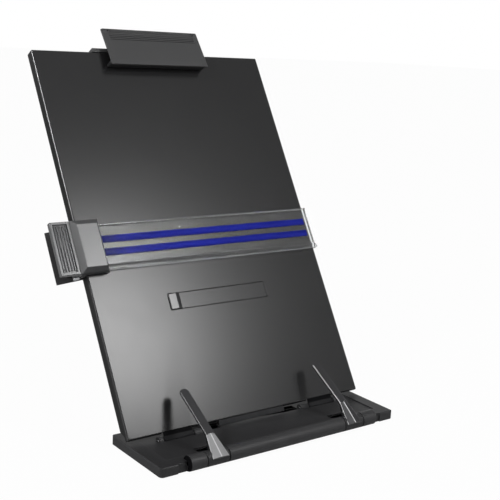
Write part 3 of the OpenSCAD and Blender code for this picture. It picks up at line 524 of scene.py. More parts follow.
FINISHES = (
    Finish(
        "board_enamel", Family.ENAMEL, (0.0085, 0.0085, 0.009), (0.0105, 0.0105, 0.011),
        0.25, rub=0.02, specular=0.42, grain_scale=1500.0, grain_depth=0.000003, dust=0.003,
    ),
    # Painted shade: a darker, duller copy of the board enamel for the rims.
    Finish(
        "rim_shade_enamel", Family.ENAMEL, (0.006, 0.006, 0.0065), (0.008, 0.008, 0.0085),
        0.3, rub=0.02, specular=0.1, grain_scale=1500.0, grain_depth=0.000003,
    ),
    # Painted highlight: the left fold takes steel colour and metal higher up, for the bright line
    # along it.
    Finish(
        "fold_painted_highlight", Family.ENAMEL, (0.012, 0.012, 0.013), (0.016, 0.016, 0.017),
        0.48, rub=0.02, specular=0.6, grain_scale=1500.0, grain_depth=0.000003, steel_glint=0.5,
    ),
    # Painted highlight: a light grey finish for the arms' foot ridges and left bevels.
    Finish(
        "painted_edge_highlight", Family.ENAMEL, (0.5, 0.5, 0.51), (0.62, 0.62, 0.63),
        0.25, rub=0.05, specular=1.0, grain_scale=1500.0, grain_depth=0.000003,
    ),
    # Painted shade: this black stands in for shade at the front roll's ends and plugs and on the
    # board's hinge tab tops.
    Finish(
        "painted_shade_black", Family.MOULDED, (0.0035, 0.0035, 0.004), (0.005, 0.005, 0.0055),
        0.75, rub=0.05, specular=0.03, grain_scale=1200.0, grain_depth=0.000004,
    ),
    # The base's edges are lightened strongly: wear, and a painted highlight along the base's outer
    # edges.
    Finish(
        "base_plastic", Family.MOULDED, (0.014, 0.014, 0.015), (0.018, 0.018, 0.019),
        0.46, rub=0.06, specular=0.28, grain_scale=1100.0, grain_depth=0.000003, dust=0.01,
        wear_and_edge_highlight=0.6,
    ),
    Finish(
        "arm_plastic", Family.MOULDED, (0.012, 0.012, 0.013), (0.016, 0.016, 0.018),
        0.24, rub=0.05, coat=0.2, grain_scale=800.0, grain_depth=0.000001, wear_and_edge_highlight=0.2,
    ),
    # Painted highlight: a lighter finish for the front of the left foot.
    Finish(
        "foot_painted_highlight", Family.MOULDED, (0.12, 0.12, 0.122), (0.3, 0.3, 0.305),
        0.38, rub=0.05, specular=0.9, grain_scale=700.0, grain_depth=0.000006, wear_and_edge_highlight=0.5,
    ),
    # Painted highlight, weaker: a lighter finish for the left facet of the right foot.
    Finish(
        "far_foot_painted_highlight", Family.MOULDED, (0.035, 0.035, 0.037), (0.05, 0.05, 0.052),
        0.38, rub=0.05, specular=0.35, grain_scale=700.0, grain_depth=0.000006, wear_and_edge_highlight=0.5,
    ),
    # Painted shade: a dark, dull finish on the hinge tabs' curls and the skirt below the board.
    Finish(
        "hinge_painted_shade", Family.MOULDED, (0.009, 0.009, 0.01), (0.013, 0.013, 0.014),
        0.6, rub=0.08, specular=0.12, grain_scale=1200.0, grain_depth=0.000006, wear_and_edge_highlight=0.3,
    ),
    Finish(
        "guide_plastic", Family.MOULDED, (0.045, 0.046, 0.048), (0.055, 0.056, 0.058),
        0.33, rub=0.05, specular=0.8, grain_scale=1600.0, grain_depth=0.000006, wear_and_edge_highlight=0.3,
    ),
    Finish(
        "grip_plastic", Family.MOULDED, (0.028, 0.028, 0.031), (0.036, 0.036, 0.039),
        0.36, rub=0.05, specular=0.8, grain_scale=1600.0, grain_depth=0.000006, wear_and_edge_highlight=0.3,
    ),
    Finish(
        "lever_plastic", Family.MOULDED, (0.009, 0.009, 0.01), (0.012, 0.012, 0.013),
        0.45, rub=0.08, grain_scale=1200.0, grain_depth=0.00001,
    ),
    Finish(
        "clip_plastic", Family.MOULDED, (0.03, 0.03, 0.031), (0.036, 0.036, 0.037),
        0.45, rub=0.05, grain_scale=1700.0, grain_depth=0.00002, dust=0.01, wear_and_edge_highlight=0.2,
    ),
    Finish(
        "label_plastic", Family.MOULDED, (0.0095, 0.0095, 0.01), (0.012, 0.012, 0.013),
        0.25, rub=0.03, specular=0.42, grain_scale=1300.0, grain_depth=0.000003,
    ),
    Finish(
        "bright_steel", Family.PLATED, (0.72, 0.73, 0.75), (0.62, 0.63, 0.65),
        0.18, grain_depth=0.000006,
    ),
    Finish(
        "zinc_steel", Family.PLATED, (0.5, 0.51, 0.52), (0.42, 0.43, 0.45),
        0.34, grain_depth=0.00001,
    ),
    Finish(
        "spring_wire", Family.DRAWN, (0.5, 0.5, 0.51), (0.4, 0.4, 0.42),
        0.24, grain_depth=0.000004,
    ),
    Finish(
        "foot_rubber", Family.RUBBER, (0.012, 0.012, 0.012), (0.02, 0.02, 0.02),
        0.78, rub=0.1, grain_scale=1400.0, grain_depth=0.00004,
    ),
    Finish(
        "pad_felt", Family.FELT, (0.012, 0.012, 0.013), (0.03, 0.03, 0.032),
        0.95, rub=0.03, grain_scale=2600.0, grain_depth=0.00015,
    ),
    Finish(
        "clear_acrylic", Family.CLEAR, (0.93, 0.94, 0.945), (0.9, 0.915, 0.92),
        0.06, rub=0.04, grain_scale=500.0, grain_depth=0.000001, ior=1.49,
    ),
    Finish(
        "clear_face", Family.CLEAR, (0.95, 0.955, 0.955), (0.93, 0.94, 0.94),
        0.12, rub=0.04, grain_scale=500.0, grain_depth=0.000001, ior=1.12,
    ),
    Finish(
        "clear_edge", Family.CLEAR, (0.5, 0.51, 0.51), (0.45, 0.46, 0.46),
        0.2, rub=0.05, grain_scale=500.0, grain_depth=0.000002, ior=1.49,
    ),
    Finish(
        "clear_back", Family.CLEAR, (0.95, 0.955, 0.955), (0.93, 0.94, 0.94),
        0.24, rub=0.06, grain_scale=500.0, grain_depth=0.000001, ior=1.36,
    ),
    Finish(
        "stripe_film", Family.FILM, (0.016, 0.022, 0.27), (0.02, 0.027, 0.31),
        0.5, rub=0.05, specular=0.0, grain_scale=900.0, grain_depth=0.000002,
    ),
)


class Palette:
    """The object's materials, by the name of their finish."""

    def __init__(self) -> None:
        """Builds every finish."""
        shared = SharedEffects.build()
        self.materials = {finish.name: finish.build(shared) for finish in FINISHES}

    def __getitem__(self, name: str) -> Material:
        """Returns the material of that finish."""
        return self.materials[name]


# Meshes


def bend(centre: Flat, radius: float, start: float, end: float, steps: int) -> list[Flat]:
    """Lists points along an arc.

    Args:
        centre: the arc's centre.
        radius: its radius.
        start: the angle of its first point, in degrees.
        end: the angle of its last point, in degrees.
        steps: how many chords it has.

    Returns:
        The points, both ends included.
    """
    angles = [math.radians(start + (end - start) * i / steps) for i in range(steps + 1)]
    return [(centre[0] + radius * math.cos(a), centre[1] + radius * math.sin(a)) for a in angles]


def full_turn(centre: Flat, radius: float, sides: int) -> list[Flat]:
    """Lists the corners of a round outline, from the angle 0."""
    return bend(centre, radius, 0.0, 360.0 - 360.0 / sides, sides - 1)


def rounded_plan(low: Flat, high: Flat, radius: float, steps: int = 4) -> list[Flat]:
    """Lists the outline of a rectangle with rounded corners, counterclockwise.

    Args:
        low: its lower left corner.
        high: its upper right corner.
        radius: the radius of its corners.
        steps: the chords of each corner.

    Returns:
        The outline's points.
    """
    left, right = low[0] + radius, high[0] - radius
    under, over = low[1] + radius, high[1] - radius
    return [
        *bend((left, under), radius, 180.0, 270.0, steps),
        *bend((right, under), radius, 270.0, 360.0, steps),
        *bend((right, over), radius, 0.0, 90.0, steps),
        *bend((left, over), radius, 90.0, 180.0, steps),
    ]


def settled(work: bmesh.types.BMesh, name: str) -> Mesh:
    """Turns a work mesh into a mesh with smooth faces and frees it.

    Args:
        work: the work mesh.
        name: the new mesh's name.

    Returns:
        The mesh.
    """
    for face in work.faces:
        face.smooth = True
    mesh = bpy.data.meshes.new(name)
    work.to_mesh(mesh)
    work.free()
    return mesh


def stand(name: str, data: bpy.types.ID) -> Object:
    """Makes an object of the scene.

    Args:
        name: the object's name.
        data: its mesh or camera.

    Returns:
        The object.
    """
    shape = bpy.data.objects.new(name, data)
    bpy.context.scene.collection.objects.link(shape)
    return shape


class Draft:
    """Collects the corners and faces of one mesh, in the millimetres of its own frame."""

    def __init__(self, place: Matrix) -> None:
        """Starts an empty mesh.

        Args:
            place: the way from the frame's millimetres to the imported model's metres.
        """
        self.place = place
        self.work = bmesh.new()

    def ring(self, points: Iterable[Spot]) -> list[BMVert]:
        """Adds corners and returns them in order."""
        return [self.work.verts.new(self.place @ Vector(point)) for point in points]

    def level(self, outline: Iterable[Flat], z: float) -> list[BMVert]:
        """Adds the corners of a flat outline at one height."""
        return self.ring((x, y, z) for x, y in outline)

    def skin(
        self, rings: Sequence[list[BMVert]], closed: bool = True, gaps: Sequence[int] = ()
    ) -> None:
        """Joins each ring of corners to the next with quads.

        Args:
            rings: the rings, each with as many corners as the others.
            closed: whether the last corner of a ring is joined to its first.
            gaps: the places along the rings that stay open.
        """
        for lower, upper in zip(rings, rings[1:]):
            count = len(lower)
            for i in range(count if closed else count - 1):
                if i not in gaps:
                    j = (i + 1) % count
                    self.work.faces.new((lower[i], lower[j], upper[j], upper[i]))

    def cap(self, ring: Sequence[BMVert]) -> None:
        """Closes a flat ring with one face."""
        self.work.faces.new(ring)

    def sheet(self, outer: list[BMVert], *holes: list[BMVert]) -> None:
        """Fills the flat area between an outline and the holes in it.

        Args:
            outer: the outline's corners.
            holes: the corners of each hole.
        """
        edges = []
        for ring in (outer, *holes):
            for a, b in zip(ring, ring[1:] + ring[:1]):
                edges.append(self.work.edges.get((a, b)) or self.work.edges.new((a, b)))
        bmesh.ops.triangle_fill(self.work, use_beauty=True, use_dissolve=False, edges=edges)

    def bar(self, section: Sequence[Spot], way: Spot) -> None:
        """Adds a solid bar with one section.

        Args:
            section: the corners of one end.
            way: the length and direction from that end to the other.
        """
        near = self.ring(section)
        far = self.ring(tuple(p[i] + way[i] for i in range(3)) for p in section)
        self.skin((near, far))
        self.cap(near[::-1])
        self.cap(far)

    def block(self, low: Spot, high: Spot) -> None:
        """Adds a plain block between two corners, for a later easing of its edges."""
        (x0, y0, z0), (x1, y1, z1) = low, high
        self.bar(((x0, y0, z0), (x1, y0, z0), (x1, y1, z0), (x0, y1, z0)), (0.0, 0.0, z1 - z0))

    def mesh(self, name: str) -> Mesh:
        """Turns the draft into a mesh with outward, smooth faces.

        Args:
            name: the mesh's name.

        Returns:
            The mesh.
        """
        bmesh.ops.remove_doubles(self.work, verts=self.work.verts, dist=MERGE_DRAWN)
        bmesh.ops.recalc_face_normals(self.work, faces=self.work.faces)
        return settled(self.work, name)


def merged_copy(source: Mesh, name: str) -> Mesh:
    """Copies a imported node's mesh with its loose triangles merged and its flat faces whole.

    Args:
        source: the node's mesh.
        name: the new mesh's name.

    Returns:
        The new mesh.
    """
    work = bmesh.new()
    work.from_mesh(source)
    bmesh.ops.remove_doubles(work, verts=work.verts, dist=MERGE_PACKED)
    flat = math.radians(FLAT_ANGLE)
    bmesh.ops.dissolve_limit(
        work, angle_limit=flat, verts=work.verts, edges=work.edges, delimit=set()
    )
    bmesh.ops.recalc_face_normals(work, faces=work.faces)
    for edge in work.edges:
        edge.smooth = True
    return settled(work, name)


def share_of_width(mesh: Mesh, angle: float, share: Optional[ShareRule]) -> None:
    """Marks how much of the rounding each sharp edge gets.

    Args:
        mesh: the mesh.
        angle: the angle between faces past which an edge is rounded, in degrees.
        share: gives the share for an edge from its middle in metres, or None for all of it;
            an edge with no share stays crisp.
    """
    work = bmesh.new()
    work.from_mesh(mesh)
    layer = work.edges.layers.float.new("bevel_weight_edge")
    limit = math.radians(angle)
    for edge in work.edges:
        if len(edge.link_faces) == 2 and edge.calc_face_angle(0.0) > limit:
            middle = (edge.verts[0].co + edge.verts[1].co) / 2.0
            edge[layer] = 1.0 if share is None else share(middle)
            edge.smooth = edge[layer] > 0.0
    work.to_mesh(mesh)
    work.free()


def ease(
    shape: Object,
    width: float,
    segments: int = 2,
    angle: float = EDGE_ANGLE,
    share: Optional[ShareRule] = None,
) -> None:
    """Rounds the sharp edges of a piece and keeps its flat faces flat.

    Args:
        shape: the piece.
        width: the width of the rounding, in millimetres.
        segments: how many faces the rounding has.
        angle: the angle between faces past which an edge is rounded, in degrees.
        share: gives the share of the width for an edge from its middle, or None for all of it.
    """
    share_of_width(shape.data, angle, share)
    rounding = shape.modifiers.new("eased_edges", "BEVEL")
    rounding.width = width * MILLIMETRE
    rounding.segments = segments
    rounding.limit_method = "WEIGHT"
    rounding.use_clamp_overlap = False
    rounding.miter_outer = "MITER_ARC"
    steady(shape)


def steady(shape: Object) -> None:
    """Weights a piece's normals by the area of its faces.

    Args:
        shape: the piece.
    """
    weights = shape.modifiers.new("steady_faces", "WEIGHTED_NORMAL")
    weights.weight = FACE_WEIGHT
    weights.keep_sharp = True


# Geometry Nodes trees


class MakingTree:
    """A Geometry Nodes tree with named inputs, run on a mesh and then turned into a plain one."""

    def __init__(self, name: str, inputs: Sequence[tuple[str, str, object]]) -> None:
        """Makes the tree's sockets and its two ends.

        Args:
            name: the tree's name.
            inputs: name, socket type and default (or None) of each input after the mesh.
        """
        self.tree = bpy.data.node_groups.new(name, "GeometryNodeTree")
        face = self.tree.interface
        face.new_socket("Mesh", in_out="INPUT", socket_type="NodeSocketGeometry")
        self.sockets = {}
        for label, kind, value in inputs:
            socket = face.new_socket(label, in_out="INPUT", socket_type=kind)
            if value is not None:
                socket.default_value = value
            self.sockets[label] = socket.identifier
        finish = face.new_socket("Finish", in_out="INPUT", socket_type="NodeSocketMaterial")
        self.sockets["Finish"] = finish.identifier
        face.new_socket("Mesh", in_out="OUTPUT", socket_type="NodeSocketGeometry")
        self.given = self.tree.nodes.new("NodeGroupInput")
        self.result = self.tree.nodes.new("NodeGroupOutput")

    def node(self, kind: str, **settings: object) -> Node:
        """Adds a node and sets its options.

        Args:
            kind: the node's type.
            settings: its options, by their names.

        Returns:
            The node.
        """
        node = self.tree.nodes.new(kind)
        for label, value in settings.items():
            setattr(node, label, value)
        return node

    def link(self, source: NodeSocket, target: NodeSocket) -> None:
        """Joins two sockets."""
        self.tree.links.new(source, target)

    def close(self, shape: NodeSocket) -> None:
        """Ends the tree: instances made real, faces smooth, and the finish set.

        Args:
            shape: the socket that gives the shape.
        """
        smooth = self.node("GeometryNodeSetShadeSmooth")
        real = self.node("GeometryNodeRealizeInstances")
        finish = self.node("GeometryNodeSetMaterial")
        self.link(shape, smooth.inputs["Geometry"])
        self.link(smooth.outputs["Geometry"], real.inputs["Geometry"])
        self.link(real.outputs["Geometry"], finish.inputs["Geometry"])
        self.link(self.given.outputs["Finish"], finish.inputs["Material"])
        self.link(finish.outputs["Geometry"], self.result.inputs["Mesh"])

    def run(self, mesh: Mesh, name: str, **values: object) -> Mesh:
        """Runs the tree on a mesh.

        Args:
            mesh: what the tree starts from.
            name: the name of the result.
            values: the inputs, by their names with an underscore for each space.

        Returns:
            The result as a plain mesh.
        """
        carrier = stand(name, mesh)
        maker = carrier.modifiers.new(name, "NODES")
        maker.node_group = self.tree
        for label, value in values.items():
            maker[self.sockets[label.replace("_", " ")]] = value
        graph = bpy.context.evaluated_depsgraph_get()
        result = bpy.data.meshes.new_from_object(carrier.evaluated_get(graph), depsgraph=graph)
        result.name = name
        bpy.data.objects.remove(carrier)
        return result


class WireSweep(MakingTree):
    """Turns a line of points into round wire."""

    def __init__(self) -> None:
        """Builds the tree."""
        super().__init__(
            "wire_sweep",
            (("Wire Radius", "NodeSocketFloat", 0.0004), ("Sides", "NodeSocketInt", WIRE_SIDES)),
        )
        line = self.node("GeometryNodeMeshToCurve")
        circle = self.node("GeometryNodeCurvePrimitiveCircle")
        sweep = self.node("GeometryNodeCurveToMesh")
        sweep.inputs["Fill Caps"].default_value = True
        self.link(self.given.outputs["Mesh"], line.inputs["Mesh"])
        self.link(self.given.outputs["Wire Radius"], circle.inputs["Radius"])
        self.link(self.given.outputs["Sides"], circle.inputs["Resolution"])
        self.link(line.outputs["Curve"], sweep.inputs["Curve"])
        self.link(circle.outputs["Curve"], sweep.inputs["Profile Curve"])
        self.close(sweep.outputs["Mesh"])


class RowOfRibs(MakingTree):
    """Repeats one rib along a straight row."""

    def __init__(self) -> None:
        """Builds the tree."""
        super().__init__(
            "row_of_ribs", (("Count", "NodeSocketInt", 5), ("Step", "NodeSocketVector", None))
        )
        row = self.node("GeometryNodeMeshLine", mode="OFFSET")
        place = self.node("GeometryNodeInstanceOnPoints")
        self.link(self.given.outputs["Count"], row.inputs["Count"])
        self.link(self.given.outputs["Step"], row.inputs["Offset"])
        self.link(row.outputs["Mesh"], place.inputs["Points"])
        self.link(self.given.outputs["Mesh"], place.inputs["Instance"])
        self.close(place.outputs["Instances"])


class SetOfFasteners(MakingTree):
    """Sets a fastener at each corner of the mesh, each turned by chance about its own axis."""

    def __init__(self) -> None:
        """Builds the tree."""
        super().__init__(
            "set_of_fasteners",
            (
                ("Fastener", "NodeSocketObject", None),
                ("Axis", "NodeSocketVector", (0.0, 0.0, 1.0)),
                ("Seed", "NodeSocketInt", 1),
            ),
        )
        shape = self.node("GeometryNodeObjectInfo", transform_space="ORIGINAL")
        turn = self.node("FunctionNodeRandomValue", data_type="FLOAT")
        way = self.node("FunctionNodeAxisAngleToRotation")
        place = self.node("GeometryNodeInstanceOnPoints")
        by_float = [s for s in turn.inputs if s.name == "Max" and s.type == "VALUE"][0]
        by_float.default_value = math.tau
        self.link(self.given.outputs["Fastener"], shape.inputs["Object"])
        self.link(self.given.outputs["Seed"], turn.inputs["Seed"])
        self.link(self.given.outputs["Axis"], way.inputs["Axis"])
        angle = [s for s in turn.outputs if s.type == "VALUE" and s.enabled][0]
        self.link(angle, way.inputs["Angle"])
        self.link(self.given.outputs["Mesh"], place.inputs["Points"])
        self.link(shape.outputs["Geometry"], place.inputs["Instance"])
        self.link(way.outputs["Rotation"], place.inputs["Rotation"])
        self.close(place.outputs["Instances"])


def line_mesh(points: Sequence[Spot], place: Matrix, joined: bool = True) -> Mesh:
    """Makes a mesh of points, joined by a line or loose.

    Args:
        points: the points, in the millimetres of a frame.
        place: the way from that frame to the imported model's.
        joined: whether a line joins each point to the next.

    Returns:
        The mesh.
    """
    mesh = bpy.data.meshes.new("line")
    edges = [(i, i + 1) for i in range(len(points) - 1)] if joined else []
    mesh.from_pydata([place @ Vector(point) for point in points], edges, [])
    return mesh


@dataclass(frozen=True)
class TorsionCoil:
    """The path of a torsion spring: a straight leg, the turns, and a second leg."""

    radius: float
    rise: float
    turns: float
    start: float
    end: float
    leg_a: float
    leg_b: float
    steps_a_turn: int = 28

    def path(self) -> list[Spot]:
        """Lists the path's points, with the coil's axis along y.

        Returns:
            The points, in millimetres.
        """
        sweep = 360.0 * self.turns + self.start - self.end
        steps = math.ceil(self.steps_a_turn * sweep / 360.0)
        spots = [
            self._spot(self.start - sweep * i / steps, self.rise * i / steps)
            for i in range(steps + 1)
        ]
        first, last = self._way(self.start), self._way(self.end)
        head = tuple(spots[0][k] - self.leg_a * first[k] for k in range(3))
        tail = tuple(spots[-1][k] + self.leg_b * last[k] for k in range(3))
        return [head, *spots, tail]

    def _spot(self, angle: float, height: float) -> Spot:
        """Returns the point at an angle round the axis and a height along it."""
        turn = math.radians(angle)
        return (self.radius * math.cos(turn), height, self.radius * math.sin(turn))

    @staticmethod
    def _way(angle: float) -> Spot:
        """Returns the direction of travel at an angle."""
        turn = math.radians(angle)
        return (math.sin(turn), 0.0, -math.cos(turn))


@dataclass(frozen=True)
class CrossHeadScrew:
    """A small pan-headed screw with a cross recess, in millimetres, its head towards z."""

    head_radius: float
    head_height: float
    shank_radius: float
    shank_length: float
    head_shares: tuple[Flat, ...] = (
        (0.96, 0.0), (1.0, 0.15), (1.0, 0.6), (0.93, 0.86), (0.8, 1.0),
    )
    tip_share: float = 0.6
    tip_length: float = 0.4
    recess_share: float = 0.62
    recess_width: float = 0.22
    recess_taper: float = 0.72
    recess_floor: float = 0.35
    sides: int = 28

    def mesh(self, name: str, place: Matrix) -> Mesh:
        """Builds the screw.

        Args:
            name: the mesh's name.
            place: the way from the screw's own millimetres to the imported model's, turned only.

        Returns:
            The mesh, with the middle of the underside of the head at the origin.
        """
        draft = Draft(place)
        top, r = self.head_height, self.head_radius
        profile = [
            (self.shank_radius * self.tip_share, -self.shank_length),
            (self.shank_radius, -self.shank_length + self.tip_length),
            (self.shank_radius, 0.0),
            *((r * wide, top * high) for wide, high in self.head_shares),
        ]
        turn = [math.tau * i / self.sides for i in range(self.sides)]
        rings = [
            draft.ring((q * math.cos(a), q * math.sin(a), z) for a in turn) for q, z in profile
        ]
        draft.skin(rings)
        draft.cap(rings[0][::-1])
        cross = self._cross(self.recess_share * r, self.recess_width * r)
        mouth = draft.level(cross, top)
        taper = self.recess_taper
        floor = draft.level([(x * taper, y * taper) for x, y in cross], top * self.recess_floor)
        draft.sheet(rings[-1], mouth)
        draft.skin((mouth, floor))
        draft.cap(floor)
        return draft.mesh(name)

    @staticmethod
    def _cross(reach: float, half: float) -> list[Flat]:
        """Lists the outline of a cross, counterclockwise.

        Args:
            reach: how far each arm reaches.
            half: half the width of an arm.

        Returns:
            The outline's points.
        """
        arm = [(half, half), (half, reach), (-half, reach)]
        outline: list[Flat] = []
        for quarter in range(4):
            a = quarter * math.pi / 2.0
            outline.extend(
                (x * math.cos(a) - y * math.sin(a), x * math.sin(a) + y * math.cos(a))
                for x, y in arm
            )
        return outline


# What every sub-assembly works with


class Workshop:
    """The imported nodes, the materials and the making trees."""

    def __init__(self, frame: dict) -> None:
        """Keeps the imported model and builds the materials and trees.
        """
        record = frame["record"]
        self.nodes = frame["nodes"]
        self.body_of = {
            node: body for body, names in record["behaviour"]["bodies"].items() for node in names
        }
        self.slot_of = {part["node"]: part["material_slot"] for part in record["subparts"]}
        self.palette = Palette()
        self.wire = WireSweep()
        self.ribs = RowOfRibs()
        self.fasteners = SetOfFasteners()

    def hand_over(self, mesh: Mesh, piece: str, node: str, finish: str) -> Object:
        """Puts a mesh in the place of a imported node.

        Args:
            mesh: the mesh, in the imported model's metres.
            piece: the name of the new piece.
            node: the node that it stands for.
            finish: the name of its finish.

        Returns:
            The new piece.
        """
        mesh.materials.clear()
        mesh.materials.append(self.palette[finish])
        shape = stand(piece, mesh)
        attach(shape, self.body_of[node])
        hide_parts(node)
        LOG.info("%s: stands for %s, %s", piece, node, finish)
        return shape

    def eased_copy(
        self,
        node: str,
        piece: str,
        finish: str,
        width: float,
        segments: int = 2,
        share: Optional[ShareRule] = None,
    ) -> Object:
        """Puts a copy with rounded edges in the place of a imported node.

        Args:
            node: the node's name.
            piece: the name of the new piece.
            finish: the name of its finish.
            width: the width of the rounding, in millimetres.
            segments: how many faces the rounding has.
            share: gives the share of the width for an edge from its middle.

        Returns:
            The new piece.
        """
        mesh = merged_copy(self.nodes[node].data, piece)
        shape = self.hand_over(mesh, piece, node, finish)
        ease(shape, width, segments, share=share)
        return shape

    def finish_faces(
        self,
        shape: Object,
        finishes: Sequence[str],
        frame: Matrix,
        rule: Callable[[Vector, Vector], int],
    ) -> None:
        """Gives a piece more finishes and picks one for each of its faces.

        Args:
            shape: the piece, which has its first finish.
            finishes: the names of the others.
            frame: the frame that the rule works in.
            rule: picks a finish, the first being 0, from a face's middle and its normal.
        """
        for finish in finishes:
            shape.data.materials.append(self.palette[finish])
        back = frame.inverted()
        turn = back.to_3x3()
        for face in shape.data.polygons:
            facing = (turn @ face.normal).normalized()
            face.material_index = rule(back @ face.center, facing)

    def spring(
        self, node: str, piece: str, path: Sequence[Spot], place: Matrix, wire_radius: float
    ) -> None:
        """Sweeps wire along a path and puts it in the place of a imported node.

        Args:
            node: the node's name.
            piece: the name of the new piece.
            path: the wire's middle line.
            place: the frame that the path is in.
            wire_radius: the wire's radius, in millimetres.
        """
        mesh = self.wire.run(
            line_mesh(path, place),
            piece,
            Wire_Radius=wire_radius * MILLIMETRE,
            Sides=WIRE_SIDES,
            Finish=self.palette["spring_wire"],
        )
        self.hand_over(mesh, piece, node, "spring_wire")

    def screws(
        self,
        node: str,
        piece: str,
        screw: CrossHeadScrew,
        place: Matrix,
        spots: Sequence[Spot],
        away: Spot,
        seed: int,
    ) -> Object:
        """Puts a set of cross-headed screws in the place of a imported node.

        Args:
            node: the node's name.
            piece: the name of the new piece.
            screw: the screw.
            place: the frame that the spots are in.
            spots: the middle of the underside of each head.
            away: the direction that the heads face, in that frame.
            seed: the seed of their turning.

        Returns:
            The new piece.
        """
        turn = place.to_3x3().normalized()
        axis = (turn @ Vector(away)).normalized()
        facing = MM @ axis.to_track_quat("Z", "Y").to_matrix().to_4x4()
        pattern = stand(piece + "_pattern", screw.mesh(piece + "_pattern", facing))
        mesh = self.fasteners.run(
            line_mesh(spots, place, joined=False),
            piece,
            Fastener=pattern,
            Axis=tuple(axis),
            Seed=seed,
            Finish=self.palette["bright_steel"],
        )
        bpy.data.objects.remove(pattern)
        shape = self.hand_over(mesh, piece, node, "bright_steel")
        ease(shape, width=0.06, segments=1)
        return shape


# Sub-assemblies


def joined(name: str, *meshes: Mesh) -> Mesh:
    """Puts several meshes into one.

    Args:
        name: the new mesh's name.
        meshes: the meshes.

    Returns:
        The new mesh.
    """
    work = bmesh.new()
    for mesh in meshes:
        work.from_mesh(mesh)
    return settled(work, name)


def within(frame: Matrix, low: Spot, high: Spot, inside: float) -> ShareRule:
    """Makes a rule that gives edges inside a box a smaller share of the rounding.

    Args:
        frame: the frame that the box is in.
        low: the box's low corner, in millimetres.
        high: its high corner.
        inside: the share of the edges inside it.

    Returns:
        The rule, which reads the middle of an edge in metres.
    """
    back = frame.inverted()

    def share(middle: Vector) -> float:
        """Returns the edge's share."""
        spot = back @ middle
        return inside if all(low[i] < spot[i] < high[i] for i in range(3)) else 1.0

    return share


